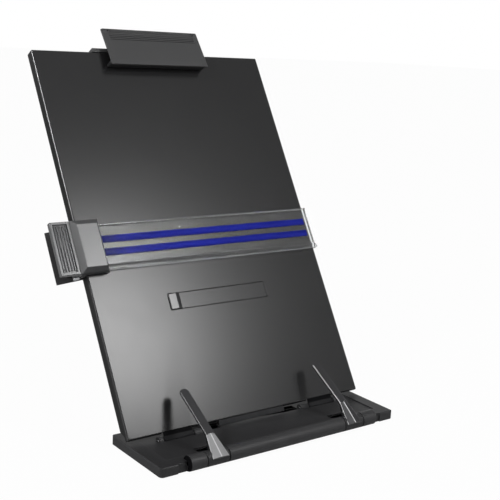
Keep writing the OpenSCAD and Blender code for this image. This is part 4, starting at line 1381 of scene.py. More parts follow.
@dataclass(frozen=True)
class LeaningBoard:
    """The steel board with its folded rims, its blank label and the bracket behind it."""

    width: float = 240.0
    height: float = 341.0
    sheet: float = 0.8
    rim: float = 8.75
    low_rim: float = 4.0
    low_rim_end: float = 4.0
    full_rim_start: float = 9.0
    fold: float = 1.4
    corner: float = 1.1
    cut_edge: float = 0.12
    tab_inner: float = 61.0
    tab_outer: float = 88.0
    tab_slot: float = 1.3
    tab_lap: float = 0.3
    tab_skin: float = 0.002
    hinge_drop: float = 5.2
    curl_radius: float = 2.35
    curl_end: float = 395.0
    curl_steps: int = 22
    label_width: float = 102.0
    label_height: float = 13.8
    label_low: float = 98.4
    label_sink: float = 0.5
    label_corner: float = 0.9
    label_edge: float = 0.35
    label_side_share: float = 0.5
    label_side_drop: float = 0.08
    label_lug: tuple[Flat, ...] = (
        (0.0, 0.1), (0.6, 0.75), (7.2, 1.15), (8.0, 1.0), (10.4, 0.15), (11.4, 0.0),
    )
    label_lip: tuple[Flat, ...] = ((1.8, 0.0), (0.8, 0.9), (0.3, 0.9), (0.0, 0.1))
    recess_steps: tuple[Flat, ...] = ((0.7, 0.0), (0.55, -0.03), (0.35, -0.15), (0.2, -0.35))
    recess_margin: float = 0.12
    boss_margins: tuple[float, ...] = (1.6, 1.3, 0.9, 0.6)
    boss_rounding: float = 0.1
    fold_steps: int = 7
    back_steps: int = 4
    upright: float = 0.1
    # Faces below the first depth take painted shade: black on the tab tops down to the second, dark
    # and dull below it and on the skirt.
    painted_shade_below: float = 0.1
    black_shade_reach: float = 2.4
    # Facing of the left fold's faces that take the painted highlight.
    fold_highlight_facing: Flat = (-0.93, -0.68)
    skirt_half: float = 34.0
    skirt_section: tuple[Flat, ...] = ((1.1, -0.6), (-4.2, -0.6), (-4.2, -1.3), (1.1, -1.3))

    def build(self, shop: Workshop) -> None:
        """Builds the board and what is fixed to it.

        Args:
            shop: the workshop.
        """
        panel = shop.hand_over(self._panel(), "folded_board", "board_panel", "board_enamel")
        steady(panel)
        # Darker, duller enamel copies paint shade on the rims, the tab tops, the tab curls and the
        # skirt; the left fold takes a painted highlight.
        finishes = ("painted_shade_black", "rim_shade_enamel", "fold_painted_highlight", "hinge_painted_shade")
        shop.finish_faces(panel, finishes, ON_BOARD, self._panel_finish)
        label = shop.hand_over(self._label(), "bare_label", "blank_label", "label_plastic")
        ease(label, width=0.12)
        shop.eased_copy("strut_bracket", "strut_bracket_pressing", "zinc_steel", width=0.25)
        shop.eased_copy("strut_pin", "strut_rivet", "bright_steel", width=0.3)

    def _panel_finish(self, middle: Vector, facing: Vector) -> int:
        """Picks the finish of one face of the board.

        Args:
            middle: the face's middle, on the board.
            facing: its normal, on the board.

        Returns:
            0 for the face, 1 for the tops of the hinge tabs (black, painted shade), 2 for the rims
            (a darker, duller enamel: painted shade), 3 for the left fold (painted highlight), 4 for
            the curls of the tabs and for the skirt (dark and dull: painted shade).
        """
        if middle[1] < -self.painted_shade_below:
            on_tab = abs(middle[0]) > self.skirt_half + NEAR
            return 1 if on_tab and middle[1] > -self.black_shade_reach else 4
        if abs(facing[2]) < self.upright:
            return 2
        low, high = self.fold_highlight_facing
        return 3 if low < facing[0] < high and facing[2] > 0.0 else 0

    def _panel(self) -> Mesh:
        """Builds the pressed sheet: face, folds, rims, label recess and rolled hinge tabs.

        Returns:
            The mesh.
        """
        draft = Draft(ON_BOARD)
        steps = self._rim_steps()
        rings = [self._rim_ring(draft, inset, out) for inset, out in steps]
        count = len(rings[0])
        flats = self._outline(steps[0][0])
        inner = self.tab_inner - self.tab_slot - NEAR
        outer = self.tab_outer + self.tab_slot + NEAR
        middles = [(flats[i][0] + flats[(i + 1) % count][0]) / 2.0 for i in range(count)]
        gaps = [
            i
            for i in range(count)
            if self._on_low_edge(flats, i) and inner < abs(middles[i]) < outer
        ]
        draft.skin(rings, gaps=gaps)
        for i in gaps:
            j = (i + 1) % count
            draft.cap((rings[0][i], rings[0][j], rings[-1][j], rings[-1][i]))
        for i in range(count):
            if (i in gaps) != ((i - 1) % count in gaps):
                draft.cap([ring[i] for ring in rings])
        draft.sheet(rings[0], self._recess(draft))
        draft.sheet(rings[-1], self._boss(draft))
        for side in (-1.0, 1.0):
            self._tab(draft, side)
        half = self.skirt_half
        draft.bar([(-half, s, out) for s, out in self.skirt_section], (2.0 * half, 0.0, 0.0))
        return draft.mesh("folded_board")

    def _rim_steps(self) -> list[tuple[float, Callable[[float], float]]]:
        """Lists the rim's section, from the face round its edge to the back of the sheet.

        Returns:
            How far each ring lies inside the edge, and the rule that gives its height from the
            rim's depth.
        """
        fold, sheet, cut = self.fold, self.sheet, self.cut_edge
        inner = fold - sheet

        def fixed(out: float) -> Callable[[float], float]:
            """Gives the same height whatever the depth of the rim."""
            return lambda depth: out

        outside = bend((0.0, 0.0), fold, 90.0, 0.0, self.fold_steps)
        inside = bend((0.0, 0.0), inner, 0.0, 90.0, self.back_steps)
        return [
            *((fold - x, fixed(z - fold)) for x, z in outside),
            (0.0, lambda depth: cut - depth),
            (cut, lambda depth: -depth),
            (sheet - cut, lambda depth: -depth),
            (sheet, lambda depth: cut - depth),
            *((fold - x, fixed(z - fold)) for x, z in inside),
        ]

    def _rim_ring(self, draft: Draft, inset: float, out: Callable[[float], float]) -> list[BMVert]:
        """Adds one ring of the rim, which is shallower at the board's lower edge."""
        return draft.ring((x, s, out(self._depth(s))) for x, s in self._outline(inset))

    def _depth(self, s: float) -> float:
        """Works out the depth of the rim at a height up the board.

        Args:
            s: the height up the board.

        Returns:
            The depth.
        """
        if s <= self.low_rim_end:
            return self.low_rim
        rise = (s - self.low_rim_end) / (self.full_rim_start - self.low_rim_end)
        return self.low_rim + min(1.0, rise) * (self.rim - self.low_rim)

    def _outline(self, inset: float) -> list[Flat]:
        """Lists a ring round the board, with marks where the tabs and the shallow rim end.

        Args:
            inset: how far it lies inside the board's edge.

        Returns:
            The ring's points, counterclockwise.
        """
        half, r = self.width / 2.0 - inset, self.corner
        low, high = inset, self.height - inset
        marks = [
            self.tab_inner - self.tab_slot, self.tab_inner,
            self.tab_outer, self.tab_outer + self.tab_slot,
        ]
        along = sorted([-m for m in marks] + marks)
        up = [self.low_rim_end, self.full_rim_start]
        return [
            *bend((-half + r, low + r), r, 180.0, 270.0, 4),
            *((x, low) for x in along),
            *bend((half - r, low + r), r, 270.0, 360.0, 4),
            *((half, s) for s in up),
            *bend((half - r, high - r), r, 0.0, 90.0, 4),
            *bend((-half + r, high - r), r, 90.0, 180.0, 4),
            *((-half, s) for s in reversed(up)),
        ]

    def _on_low_edge(self, outline: Sequence[Flat], i: int) -> bool:
        """Tells whether the stretch after a point lies on the board's lower edge."""
        after = outline[(i + 1) % len(outline)]
        return max(outline[i][1], after[1]) < self.fold + NEAR

    def _label_ring(self, draft: Draft, margin: float, out: float) -> list[BMVert]:
        """Adds a ring round the label's place.

        Args:
            draft: the panel's draft.
            margin: how far it lies outside the label.
            out: its height out of the face.

        Returns:
            The ring's corners.
        """
        half = self.label_width / 2.0 + margin
        low = self.label_low - margin
        high = self.label_low + self.label_height + margin
        outline = rounded_plan((-half, low), (half, high), self.label_corner + margin)
        return draft.level(outline, out)

    def _recess(self, draft: Draft) -> list[BMVert]:
        """Adds the label's recess.

        Args:
            draft: the panel's draft.

        Returns:
            The ring at its mouth.
        """
        steps = (*self.recess_steps, (self.recess_margin, -self.label_sink))
        rings = [self._label_ring(draft, margin, out) for margin, out in steps]
        draft.skin(rings)
        draft.cap(rings[-1])
        return rings[0]

    def _boss(self, draft: Draft) -> list[BMVert]:
        """Adds the back of the recess.

        Args:
            draft: the panel's draft.

        Returns:
            The ring where it leaves the sheet.
        """
        back = -self.sheet
        deep = back - self.label_sink
        levels = (back, back - self.boss_rounding, deep + self.boss_rounding, deep)
        steps = zip(self.boss_margins, levels)
        rings = [self._label_ring(draft, margin, out) for margin, out in steps]
        draft.skin(rings)
        draft.cap(rings[-1])
        return rings[0]

    def _tab(self, draft: Draft, side: float) -> None:
        """Adds one hinge tab, with its lower edge rolled round the pin.

        Args:
            draft: the panel's draft.
            side: -1 for the left tab, 1 for the right one.
        """
        r, sheet, skin = self.curl_radius, self.sheet, self.tab_skin
        centre = (-self.hinge_drop, -r)
        outside = bend(centre, r - skin, 90.0, self.curl_end, self.curl_steps)
        inside = bend(centre, r - sheet + skin, self.curl_end, 90.0, self.curl_steps)
        top = self.fold + self.tab_lap
        # This corner splits a tab where its black painted shade ends.
        mark = (-self.black_shade_reach, -skin)
        section = [(top, -skin), mark, *outside, *inside, (top, skin - sheet)]
        start, length = side * self.tab_inner, side * (self.tab_outer - self.tab_inner)
        draft.bar([(start, s, out) for s, out in section], (length, 0.0, 0.0))

    def _label(self) -> Mesh:
        """Builds the bare label plate, with a raised lug at its left and a lip at its right.

        Returns:
            The mesh.
        """
        draft = Draft(ON_BOARD)
        half, edge, low = self.label_width / 2.0, self.label_edge, -self.label_sink
        near, far = self.label_low, self.label_low + self.label_height
        heights = [
            *((-half + along, out) for along, out in self.label_lug),
            *((half - along, out) for along, out in self.label_lip),
        ]
        columns = []
        for x, out in heights:
            side = self.label_side_share * out - self.label_side_drop
            section = (
                (near, low), (near, side), (near + edge, out),
                (far - edge, out), (far, side), (far, low),
            )
            columns.append(draft.ring((x, s, z) for s, z in section))
        draft.skin(columns)
        draft.cap(columns[0])
        draft.cap(columns[-1])
        return draft.mesh("bare_label")


@dataclass(frozen=True)
class RearStrut:
    """The strut behind the board and its rubber foot."""

    rounding: float = 0.35

    def build(self, shop: Workshop) -> None:
        """Builds the strut and its foot.

        Args:
            shop: the workshop.
        """
        shop.eased_copy("support_strut", "pressed_strut", "board_enamel", self.rounding)
        shop.eased_copy("strut_foot", "strut_foot_sleeve", "foot_rubber", self.rounding)


@dataclass(frozen=True)
class LowBase:
    """The moulded base, the plate that closes it, its feet, its rack and its pins."""

    rounding: float = 0.35
    plate_screw: CrossHeadScrew = CrossHeadScrew(2.6, 1.0, 1.25, 3.7)
    screw_side: float = 97.3
    screw_middle: float = 42.0
    screw_front: float = -30.0
    screw_back: float = 20.0
    head_seat: float = 2.0
    roll_half: float = 95.0
    roll_radius: float = 6.3
    roll_end_slack: float = 0.3
    end_facing: float = 0.9

    def build(self, shop: Workshop) -> None:
        """Builds the base and what is fixed to it.

        Args:
            shop: the workshop.
        """
        tray = shop.eased_copy("base_tray", "moulded_base", "base_plastic", self.rounding)
        # The ends of the front roll take the black finish: painted shade.
        shop.finish_faces(tray, ("painted_shade_black",), ON_ROLL, self._tray_finish)
        shop.eased_copy("base_plate", "weight_plate", "zinc_steel", width=0.2)
        shop.eased_copy("rubber_feet", "desk_feet", "foot_rubber", width=0.25)
        shop.eased_copy("tilt_rack", "notched_rack", "lever_plastic", width=0.15)
        shop.eased_copy("arm_axles", "arm_axle_rods", "bright_steel", width=0.2)
        # The roll's end plugs take the same black: painted shade.
        shop.eased_copy("axle_plugs", "roll_end_plugs", "painted_shade_black", width=0.2)
        shop.eased_copy(
            "spring_washers", "friction_washers", "bright_steel", width=0.08, segments=1
        )
        shop.eased_copy("hinge_pins", "board_hinge_pins", "bright_steel", width=0.35)
        spots = [
            (side * x, y, self.head_seat)
            for x, y in (
                (self.screw_side, self.screw_front),
                (self.screw_side, self.screw_back),
                (self.screw_middle, self.screw_back),
            )
            for side in (-1.0, 1.0)
        ]
        down = (0.0, 0.0, -1.0)
        shop.screws("base_screws", "plate_screws", self.plate_screw, MM, spots, down, seed=7)

    def _tray_finish(self, middle: Vector, facing: Vector) -> int:
        """Picks the finish of one face of the base.

        Args:
            middle: the face's middle, from the roll's axis.
            facing: its normal.

        Returns:
            1 for the ends of the front roll, black as painted shade, 0 for the rest.
        """
        near = middle[1] ** 2 + middle[2] ** 2 < self.roll_radius**2
        at_end = abs(abs(middle[0]) - self.roll_half) < self.roll_end_slack
        return int(near and at_end and abs(facing[0]) > self.end_facing)


@dataclass(frozen=True)
class PageArms:
    """The two arms that hold the pages open, each a hub, a ridged foot and a slim blade."""

    hub_start: float = 60.0
    hub_length: float = 20.0
    hub_radius: float = 6.3
    hub_edge: float = 0.35
    edge_share: float = 0.3
    hub_sides: int = 60
    hub_skin: float = 0.02
    bore: float = 1.55
    middle: float = 69.0
    foot: Flat = (-7.5, 2.2)
    knee: Flat = (9.1, 15.6)
    tip: Flat = (49.4, 39.0)
    toe: float = 1.3
    foot_half: float = 7.8
    foot_bevel: float = 0.45
    toe_deep: float = 3.0
    foot_deep: float = 6.4
    knee_half: float = 3.9
    blade_half: float = 4.0
    blade_bevel: float = 0.42
    blade_lap: float = 0.8
    tip_steps: int = 20
    ridge: float = 0.9
    ridge_half: float = 0.45
    ridge_at_knee: float = 0.4
    shoulder_share: float = 0.75
    ridge_highlight_share: float = 0.6
    # Left bevels within these facings take a painted highlight.
    bevel_across: Flat = (-0.9, -0.4)
    bevel_slant: float = 0.2
    foot_slant: float = 0.4
    crisp_half: float = 1.0
    crisp_low: Flat = (-7.5, 1.0)
    thick: float = 2.2
    rounding: float = 0.35

    def build(self, shop: Workshop) -> None:
        """Builds both arms.

        Args:
            shop: the workshop.
        """
        for side, name in ((-1.0, "left"), (1.0, "right")):
            piece = f"{name}_page_arm"
            mesh = joined(piece, self._hub(side), self._foot(side), self._blade(side))
            arm = shop.hand_over(mesh, piece, f"page_arm_{name}", "arm_plastic")
            # The feet, the ridges and the left bevels take lighter finishes as painted highlights;
            # the hub takes the base's finish.
            finishes = ("foot_painted_highlight", "far_foot_painted_highlight", "painted_edge_highlight", "base_plastic")
            shop.finish_faces(arm, finishes, ON_ROLL, partial(self._arm_finish, side))
            ease(arm, self.rounding, segments=3, share=self._crisp_ridge(side))

    def _arm_finish(self, side: float, middle: Vector, facing: Vector) -> int:
        """Picks the finish of one face of an arm.

        Args:
            side: -1 for the left arm, 1 for the right one.
            middle: the face's middle, from the roll's axis.
            facing: its normal.

        Returns:
            1 for the front of the left foot and 2 for the left facet of the right foot, both lighter
            as a painted highlight, 3 for the painted highlight on the ridge and the left bevels, 4
            for the hub, 0 for the rest.
        """
        across = middle[0] - side * self.middle
        if math.hypot(middle[1], middle[2]) < self.hub_radius + self.hub_skin:
            return 4
        low, high = self.bevel_across
        slant = self.bevel_slant
        if low < facing[0] < high and facing[1] < -slant < slant < facing[2]:
            return 3
        slopes = facing[1] < -self.foot_slant and facing[2] > self.foot_slant
        if middle[2] > self.knee[1] or not slopes:
            return 0
        if abs(across) < self.ridge_highlight_share * self.ridge_half:
            return 3
        if side < 0.0:
            return 1
        return 2 if across < 0.0 else 0

    def _hub(self, side: float) -> Mesh:
        """Builds the hub, a bored length of the front roll.

        Args:
            side: -1 for the left arm, 1 for the right one.

        Returns:
            The mesh.
        """
        draft = Draft(ON_ROLL)
        start, end, edge = self.hub_start, self.hub_start + self.hub_length, self.hub_edge
        full, part = self.hub_radius, self.edge_share * edge
        steps = (
            (start, self.bore), (start, full - edge), (start + part, full - part),
            (start + edge, full), (end - edge, full), (end - part, full - part),
            (end, full - edge), (end, self.bore),
        )
        rings = [
            draft.ring((side * x, y, z) for y, z in full_turn((0.0, 0.0), r, self.hub_sides))
            for x, r in steps
        ]
        draft.skin([*rings, rings[0]])
        return draft.mesh("arm_hub")

    def _foot(self, side: float) -> Mesh:
        """Builds the foot, which narrows from the hub to the knee and has a ridge in front.

        Args:
            side: -1 for the left arm, 1 for the right one.

        Returns:
            The mesh.
        """
        draft = Draft(ON_ROLL)
        along = Vector((self.knee[0] - self.foot[0], self.knee[1] - self.foot[1])).normalized()
        front = Vector((-along[1], along[0]))
        stations = (
            (Vector(self.foot) - front * self.toe, self.foot_half, 0.0, self.toe_deep),
            (Vector(self.foot), self.foot_half, 1.0, self.foot_deep),
            (Vector(self.knee), self.knee_half, self.ridge_at_knee, self.thick),
        )
        notch, edge = self.ridge_half, self.foot_bevel
        rings = []
        for spot, half, share, deep in stations:
            top = self.ridge * share
            shoulder = self.shoulder_share * top
            section = (
                (-half, -deep), (-half, -edge), (edge - half, 0.0), (-notch, shoulder),
                (0.0, top), (notch, shoulder), (half - edge, 0.0), (half, -edge), (half, -deep),
            )
            spots = [(side * (self.middle + x), *(spot + front * h)) for x, h in section]
            rings.append(draft.ring(spots))
        draft.skin(rings)
        draft.cap(rings[0])
        draft.cap(rings[-1])
        return draft.mesh("arm_foot")

    def _blade(self, side: float) -> Mesh:
        """Builds the slim blade with its round tip.

        Args:
            side: -1 for the left arm, 1 for the right one.

        Returns:
            The mesh.
        """
        draft = Draft(ON_ROLL)
        way = Vector((self.tip[0] - self.knee[0], self.tip[1] - self.knee[1]))
        length, along = way.length, way.normalized()
        front = Vector((-along[1], along[0]))
        end = length - self.blade_half
        bevel, lap = self.blade_bevel, self.blade_lap
        levels = []
        for height, inset in ((0.0, bevel), (-bevel, 0.0), (-self.thick, 0.0)):
            half = self.blade_half - inset
            tip = bend((0.0, end), half, 0.0, 180.0, self.tip_steps)
            plan = [(-half, -lap), (half, -lap), *tip]
            spots = [(x, Vector(self.knee) + along * t + front * height) for x, t in plan]
            levels.append(draft.ring((side * (self.middle + x), *spot) for x, spot in spots))
        draft.skin(levels)
        draft.cap(levels[0])
        draft.cap(levels[-1])
        return draft.mesh("arm_blade")

    def _crisp_ridge(self, side: float) -> ShareRule:
        """Makes a rule that leaves the ridge of the foot crisp.

        Args:
            side: -1 for the left arm, 1 for the right one.

        Returns:
            The rule, which reads the middle of an edge in metres.
        """
        half = self.crisp_half
        x = sorted((side * (self.middle - half), side * (self.middle + half)))
        low, high = (x[0], *self.crisp_low), (x[1], self.knee[0] + half, self.knee[1])
        return within(ON_ROLL, low, high, 0.0)


@dataclass(frozen=True)
class LineGuide:
    """The slider on the board's left edge, its lever, and the clear strip with two stripes."""

    width: float = 45.0
    strip_left: float = 8.0
    strip_right: float = 242.0
    strip_low: float = 2.5
    strip_height: float = 40.0
    strip_lift: float = 0.5
    strip_thick: float = 1.5
    film_lift: float = 0.37
    film_start: float = 220.0
    film_longer: float = 3.4
    lip_width: float = 2.2
    lip_height: float = 1.5
    lip_bevel: float = 2.6
    upper_lip_width: float = 1.2
    upper_lip_height: float = 0.6
    wall_thick: float = 1.6
    wall_back: float = 2.0
    pad_left: float = -25.0
    pad_right: float = -8.0
    pad_border: float = 2.22
    grip_floor: float = 3.8
    grip_base: float = 5.4
    grip_top: float = 6.3
    grip_ribs: int = 5
    grip_rib_share: float = 0.55
    rib_root: float = 0.8
    rib_rounding: float = 0.42
    grip_well: tuple[Spot, Spot] = ((-23.2, 1.8, 3.0), (-9.8, 43.2, 7.5))
    strip_slot: tuple[Spot, Spot] = ((-1.0, 1.5, -1.0), (30.0, 43.5, 5.0))
    well_share: float = 0.4
    slot_share: float = 0.3
    skin: float = 0.05
    pin: Flat = (-7.9, -3.3)
    wire_radius: float = 0.45
    spring_low: float = 14.55
    coil: TorsionCoil = TorsionCoil(2.3, 15.9, 6.0, 72.0, -30.0, 10.4, 10.2)
    strip_screw: CrossHeadScrew = CrossHeadScrew(2.2, 0.8, 1.0, 4.9)
    screw_x: float = 12.2
    screw_rows: Flat = (12.5, 32.5)
    screw_seat: float = 1.45

    def build(self, shop: Workshop) -> None:
        """Builds the guide, its strip and its lever.

        Args:
            shop: the workshop.
        """
        well = within(ON_GUIDE, *self.grip_well, self.well_share)
        slot = within(ON_GUIDE, *self.strip_slot, self.slot_share)
        shop.eased_copy(
            "guide_body", "slider_block", "guide_plastic", width=0.45, segments=3,
            share=lambda middle: min(well(middle), slot(middle)),
        )
        steady(shop.hand_over(self._grip(shop), "thumb_grip", "guide_grip", "grip_plastic"))
        strip = shop.hand_over(self._strip(), "clear_strip", "guide_strip", "clear_acrylic")
        finishes = ("clear_face", "clear_back", "clear_edge")
        shop.finish_faces(
            strip, finishes, ON_GUIDE, lambda middle, _: self._strip_finish(middle[1], middle[2])
        )
        ease(strip, width=0.18, angle=20.0)
        self._stripes(shop)
        shop.eased_copy("guide_felt", "runner_felt", "pad_felt", width=0.15)
        shop.eased_copy("guide_pin", "headed_pin", "bright_steel", width=0.5, segments=4)
        spots = [(self.screw_x, y, self.screw_seat) for y in self.screw_rows]
        inward = (0.0, 0.0, -1.0)
        shop.screws(
            "strip_screws", "strip_fixings", self.strip_screw, ON_GUIDE, spots, inward, seed=3
        )
        place = ON_GUIDE @ Matrix.Translation((self.pin[0], self.spring_low, self.pin[1]))
        shop.spring("guide_spring", "lever_spring", self.coil.path(), place, self.wire_radius)
        shop.eased_copy("guide_lever", "squeeze_lever", "lever_plastic", width=0.35)
        shop.eased_copy("lever_felt", "jaw_felt", "pad_felt", width=0.15)

    def _stripes(self, shop: Workshop) -> None:
        """Bonds the stripes to the strip's face, a little longer at the right.

        Args:
            shop: the workshop.
        """
        film = merged_copy(shop.nodes["guide_stripes"].data, "bonded_stripes")
        back = ON_GUIDE.inverted()
        for vertex in film.vertices:
            spot = back @ vertex.co
            longer = self.film_longer if spot[0] > self.film_start else 0.0
            vertex.co = ON_GUIDE @ (spot + Vector((longer, 0.0, self.film_lift)))
        shop.hand_over(film, "bonded_stripes", "guide_stripes", "stripe_film")

    def _grip(self, shop: Workshop) -> Mesh:
        """Builds the thumb pad's insert: a floor and a row of rounded ribs.

        Args:
            shop: the workshop.

        Returns:
            The mesh.
        """
        left, right = self.pad_left + self.pad_border, self.pad_right - self.pad_border
        low, high = self.pad_border, self.width - self.pad_border
        pitch = (right - left) / self.grip_ribs
        floor = Draft(ON_GUIDE)
        floor.block((left, low, self.grip_floor), (right, high, self.grip_base))
        rib = Draft(ON_GUIDE)
        middle = left + pitch / 2.0
        half = pitch * self.grip_rib_share / 2.0
        root = self.grip_base - self.rib_root
        section = rounded_plan(
            (middle - half, root), (middle + half, self.grip_top), self.rib_rounding
        )
        near, length = low + self.pad_border / 2.0, high - low - self.pad_border
        rib.bar([(x, near, z) for x, z in section], (0.0, length, 0.0))
        row = shop.ribs.run(
            rib.mesh("grip_rib"),
            "grip_ribs",
            Count=self.grip_ribs,
            Step=(pitch * MILLIMETRE, 0.0, 0.0),
            Finish=shop.palette["grip_plastic"],
        )
        return joined("thumb_grip", floor.mesh("grip_floor"), row)

    def _strip_section(self) -> list[Flat]:
        """Lists the strip's section, in y and z, from its lower back corner.

        Returns:
            The section's points.
        """
        low, lift = self.strip_low, self.strip_lift
        top, high = lift + self.strip_thick, low + self.strip_height
        return [
            (low, lift),
            (low, top + self.lip_height),
            (low + self.lip_width, top + self.lip_height),
            (low + self.lip_width + self.lip_bevel, top),
            (high - self.upper_lip_width, top),
            (high - self.upper_lip_width, top + self.upper_lip_height),
            (high, top + self.upper_lip_height),
            (high, lift),
        ]

    def _strip_finish(self, y: float, z: float) -> int:
        """Picks the finish of one face of the strip.

        Args:
            y: how high the face's middle lies on the guide.
            z: how far it stands out of the board.

        Returns:
            1 for the front, 2 for the back and the lip's slope, 3 for the edges, 0 for the rest.
        """
        low, top, skin = self.strip_low, self.strip_lift + self.strip_thick, self.skin
        if y < low + skin or y > low + self.strip_height - skin:
            return 3
        slope = low + self.lip_width
        if abs(z - self.strip_lift) < skin or slope < y < slope + self.lip_bevel:
            return 2
        return int(abs(z - top) < skin or abs(z - top - self.lip_height) < skin)

    def _strip(self) -> Mesh:
        """Builds the strip, whose far end turns down over the board's right edge.

        Returns:
            The mesh.
        """
        draft = Draft(ON_GUIDE)
        section = self._strip_section()
        wall = self.strip_right - self.wall_thick
        near = draft.ring((self.strip_left, y, z) for y, z in section)
        knee = draft.ring((wall, y, z) for y, z in section)
        far = draft.ring((self.strip_right, y, z) for y, z in section)
        feet = [(section[0][0], -self.wall_back), (section[-1][0], -self.wall_back)]
        foot = draft.ring((wall, y, z) for y, z in feet)
        toe = draft.ring((self.strip_right, y, z) for y, z in feet)
        draft.skin((near, knee))
        draft.skin((knee, far), closed=False)
        draft.cap(near[::-1])
        draft.cap((knee[0], knee[-1], foot[1], foot[0]))
        draft.cap((knee[0], foot[0], toe[0], far[0]))
        draft.cap((knee[-1], far[-1], toe[1], foot[1]))
        draft.cap((foot[0], foot[1], toe[1], toe[0]))
        draft.cap((*far, toe[1], toe[0]))
        return draft.mesh("clear_strip")


@dataclass(frozen=True)
class TopClip:
    """The sprung clip at the board's top edge."""

    half: float = 51.0
    lean: float = 6.5
    lean_about: Flat = (9.0, 7.2)
    plate_low: float = -17.6
    plate_high: float = 20.3
    plate_back: float = 5.8
    plate_front: float = 8.0
    side_bevel: float = 1.6
    groove_half: float = 45.0
    groove_top: float = 1.8
    groove_pitch: float = 1.9
    groove_height: float = 0.7
    groove_depth: float = 0.5
    groove_slope: float = 0.12
    grooves: int = 6
    lip_back: float = 1.1
    lip_low: float = -15.5
    lip_high: float = -12.5
    lip_front: float = 7.6
    lip_inset: float = 0.4
    lip_skin: float = 0.1
    crisp_side: float = 0.5
    crisp_low: Flat = (5.0, 7.0)
    crisp_top: float = 1.5
    crisp_front: float = 0.2
    knuckle: float = 2.6
    knuckle_start: float = 32.7
    knuckle_width: float = 7.0
    knuckle_sides: int = 24
    web_root: float = 0.4
    web_lap: float = 0.02
    pin: Flat = (6.3, 2.9)
    wire_radius: float = 0.4
    coil: TorsionCoil = TorsionCoil(1.9, 12.6, 7.0, 180.0, 90.0, 7.5, 7.0)
    base_screw: CrossHeadScrew = CrossHeadScrew(2.4, 1.4, 1.25, 3.6)
    screw_x: float = 46.0
    screw_out: float = -4.4
    screw_seat: float = -0.8

    def build(self, shop: Workshop) -> None:
        """Builds the clip's two leaves, its pin, its spring and its screws.

        Args:
            shop: the workshop.
        """
        front = shop.hand_over(self._front(), "clip_front", "clip_plate", "clip_plastic")
        # The lip's faces take the black lever finish: painted shade under the plate's lower edge.
        shop.finish_faces(
            front, ("lever_plastic",), ON_CLIP, lambda middle, _: int(self._on_lip(middle))
        )
        side = self.groove_half + self.crisp_side
        low = (-side, *self.crisp_low)
        high = (side, self.plate_high - self.crisp_top, self.plate_front + self.crisp_front)
        ease(front, width=0.45, segments=3, share=within(ON_CLIP, low, high, 0.0))
        shop.eased_copy("clip_base", "clip_back", "clip_plastic", width=0.35)
        shop.eased_copy("clip_pad", "clip_grip_strip", "foot_rubber", width=0.15)
        shop.eased_copy("clip_pin", "clip_hinge_pin", "bright_steel", width=0.2)
        spots = [(x, self.screw_seat, self.screw_out) for x in (-self.screw_x, self.screw_x)]
        down = (0.0, -1.0, 0.0)
        shop.screws("clip_screws", "clip_fixings", self.base_screw, ON_CLIP, spots, down, seed=5)
        path = [(h, x, z) for x, h, z in self.coil.path()]
        place = ON_CLIP @ Matrix.Translation((-self.coil.rise / 2.0, self.pin[0], self.pin[1]))
        shop.spring("clip_spring", "clip_torsion_spring", path, place, self.wire_radius)

    def _on_lip(self, middle: Vector) -> bool:
        """Tells whether a face is part of the lip, from its middle on the clip."""
        low, high = self.lip_low - self.lip_skin, self.lip_high + self.lip_skin
        return low < middle[1] < high and middle[2] < self.lip_front

    def _front(self) -> Mesh:
        """Builds the front leaf: a bevelled plate with grooves, its lip and its knuckles.

        Returns:
            The mesh.
        """
        tilt = Matrix.Rotation(math.radians(-self.lean), 4, "X")
        hold = Matrix.Translation((0.0, self.lean_about[0], self.lean_about[1]))
        plate = Draft(ON_CLIP @ hold @ tilt @ hold.inverted())
        rows = self._rows()
        drop = self.side_bevel / 2.0
        flat, inner = self.half - self.side_bevel, self.groove_half - self.groove_slope
        stations = (
            (-self.half, False, drop), (-flat, False, 0.0), (-self.groove_half, False, 0.0),
            (-inner, True, 0.0), (inner, True, 0.0), (self.groove_half, False, 0.0),
            (flat, False, 0.0), (self.half, False, drop),
        )
        columns = [
            plate.ring((x, y, self.plate_front - low - (z if sunk else 0.0)) for y, z in rows)
            for x, sunk, low in stations
        ]
        plate.skin(columns, closed=False)
        half, low, high = self.half, self.plate_low, self.plate_high
        plan = ((-half, low), (half, low), (half, high), (-half, high))
        rear = plate.level(plan, self.plate_back)
        plate.cap(rear)
        plate.cap([column[0] for column in columns] + [rear[1], rear[0]])
        plate.cap([column[-1] for column in columns] + [rear[2], rear[3]])
        plate.cap(columns[0] + [rear[3], rear[0]])
        plate.cap(columns[-1] + [rear[2], rear[1]])
        parts = Draft(ON_CLIP)
        edge = self.half - self.lip_inset
        parts.block((-edge, self.lip_low, self.lip_back), (edge, self.lip_high, self.lip_front))
        for side in (-1.0, 1.0):
            self._knuckle(parts, side)
        return joined("clip_front", plate.mesh("clip_leaf"), parts.mesh("clip_lip"))

    def _rows(self) -> list[Flat]:
        """Lists the rows of the plate's face, from its lower edge up.

        Returns:
            The height of each row and how far it is sunk.
        """
        rows = [(self.plate_low, 0.0)]
        for i in reversed(range(self.grooves)):
            high = self.plate_high - self.groove_top - i * self.groove_pitch
            low = high - self.groove_height
            rows += [
                (low, 0.0),
                (low + self.groove_slope, self.groove_depth),
                (high - self.groove_slope, self.groove_depth),
                (high, 0.0),
            ]
        return [*rows, (self.plate_high, 0.0)]

    def _knuckle(self, parts: Draft, side: float) -> None:
        """Adds one hinge knuckle and the web that carries it.

        Args:
            parts: the draft of the clip's front.
            side: -1 for the left one, 1 for the right one.
        """
        y, z = self.pin
        r, lap = self.knuckle, self.web_lap
        start, width = side * self.knuckle_start, side * self.knuckle_width
        barrel = full_turn((y, z), r, self.knuckle_sides)
        parts.bar([(start, *p) for p in barrel], (width, 0.0, 0.0))
        top = self.plate_back - self.web_root
        web = ((y - r + lap, z), (y + r - lap, z), (y + 2.0 * r, top), (y - 2.0 * r, top))
        parts.bar([(start + side * lap, *p) for p in web], (width - side * 2.0 * lap, 0.0, 0.0))


# Studio


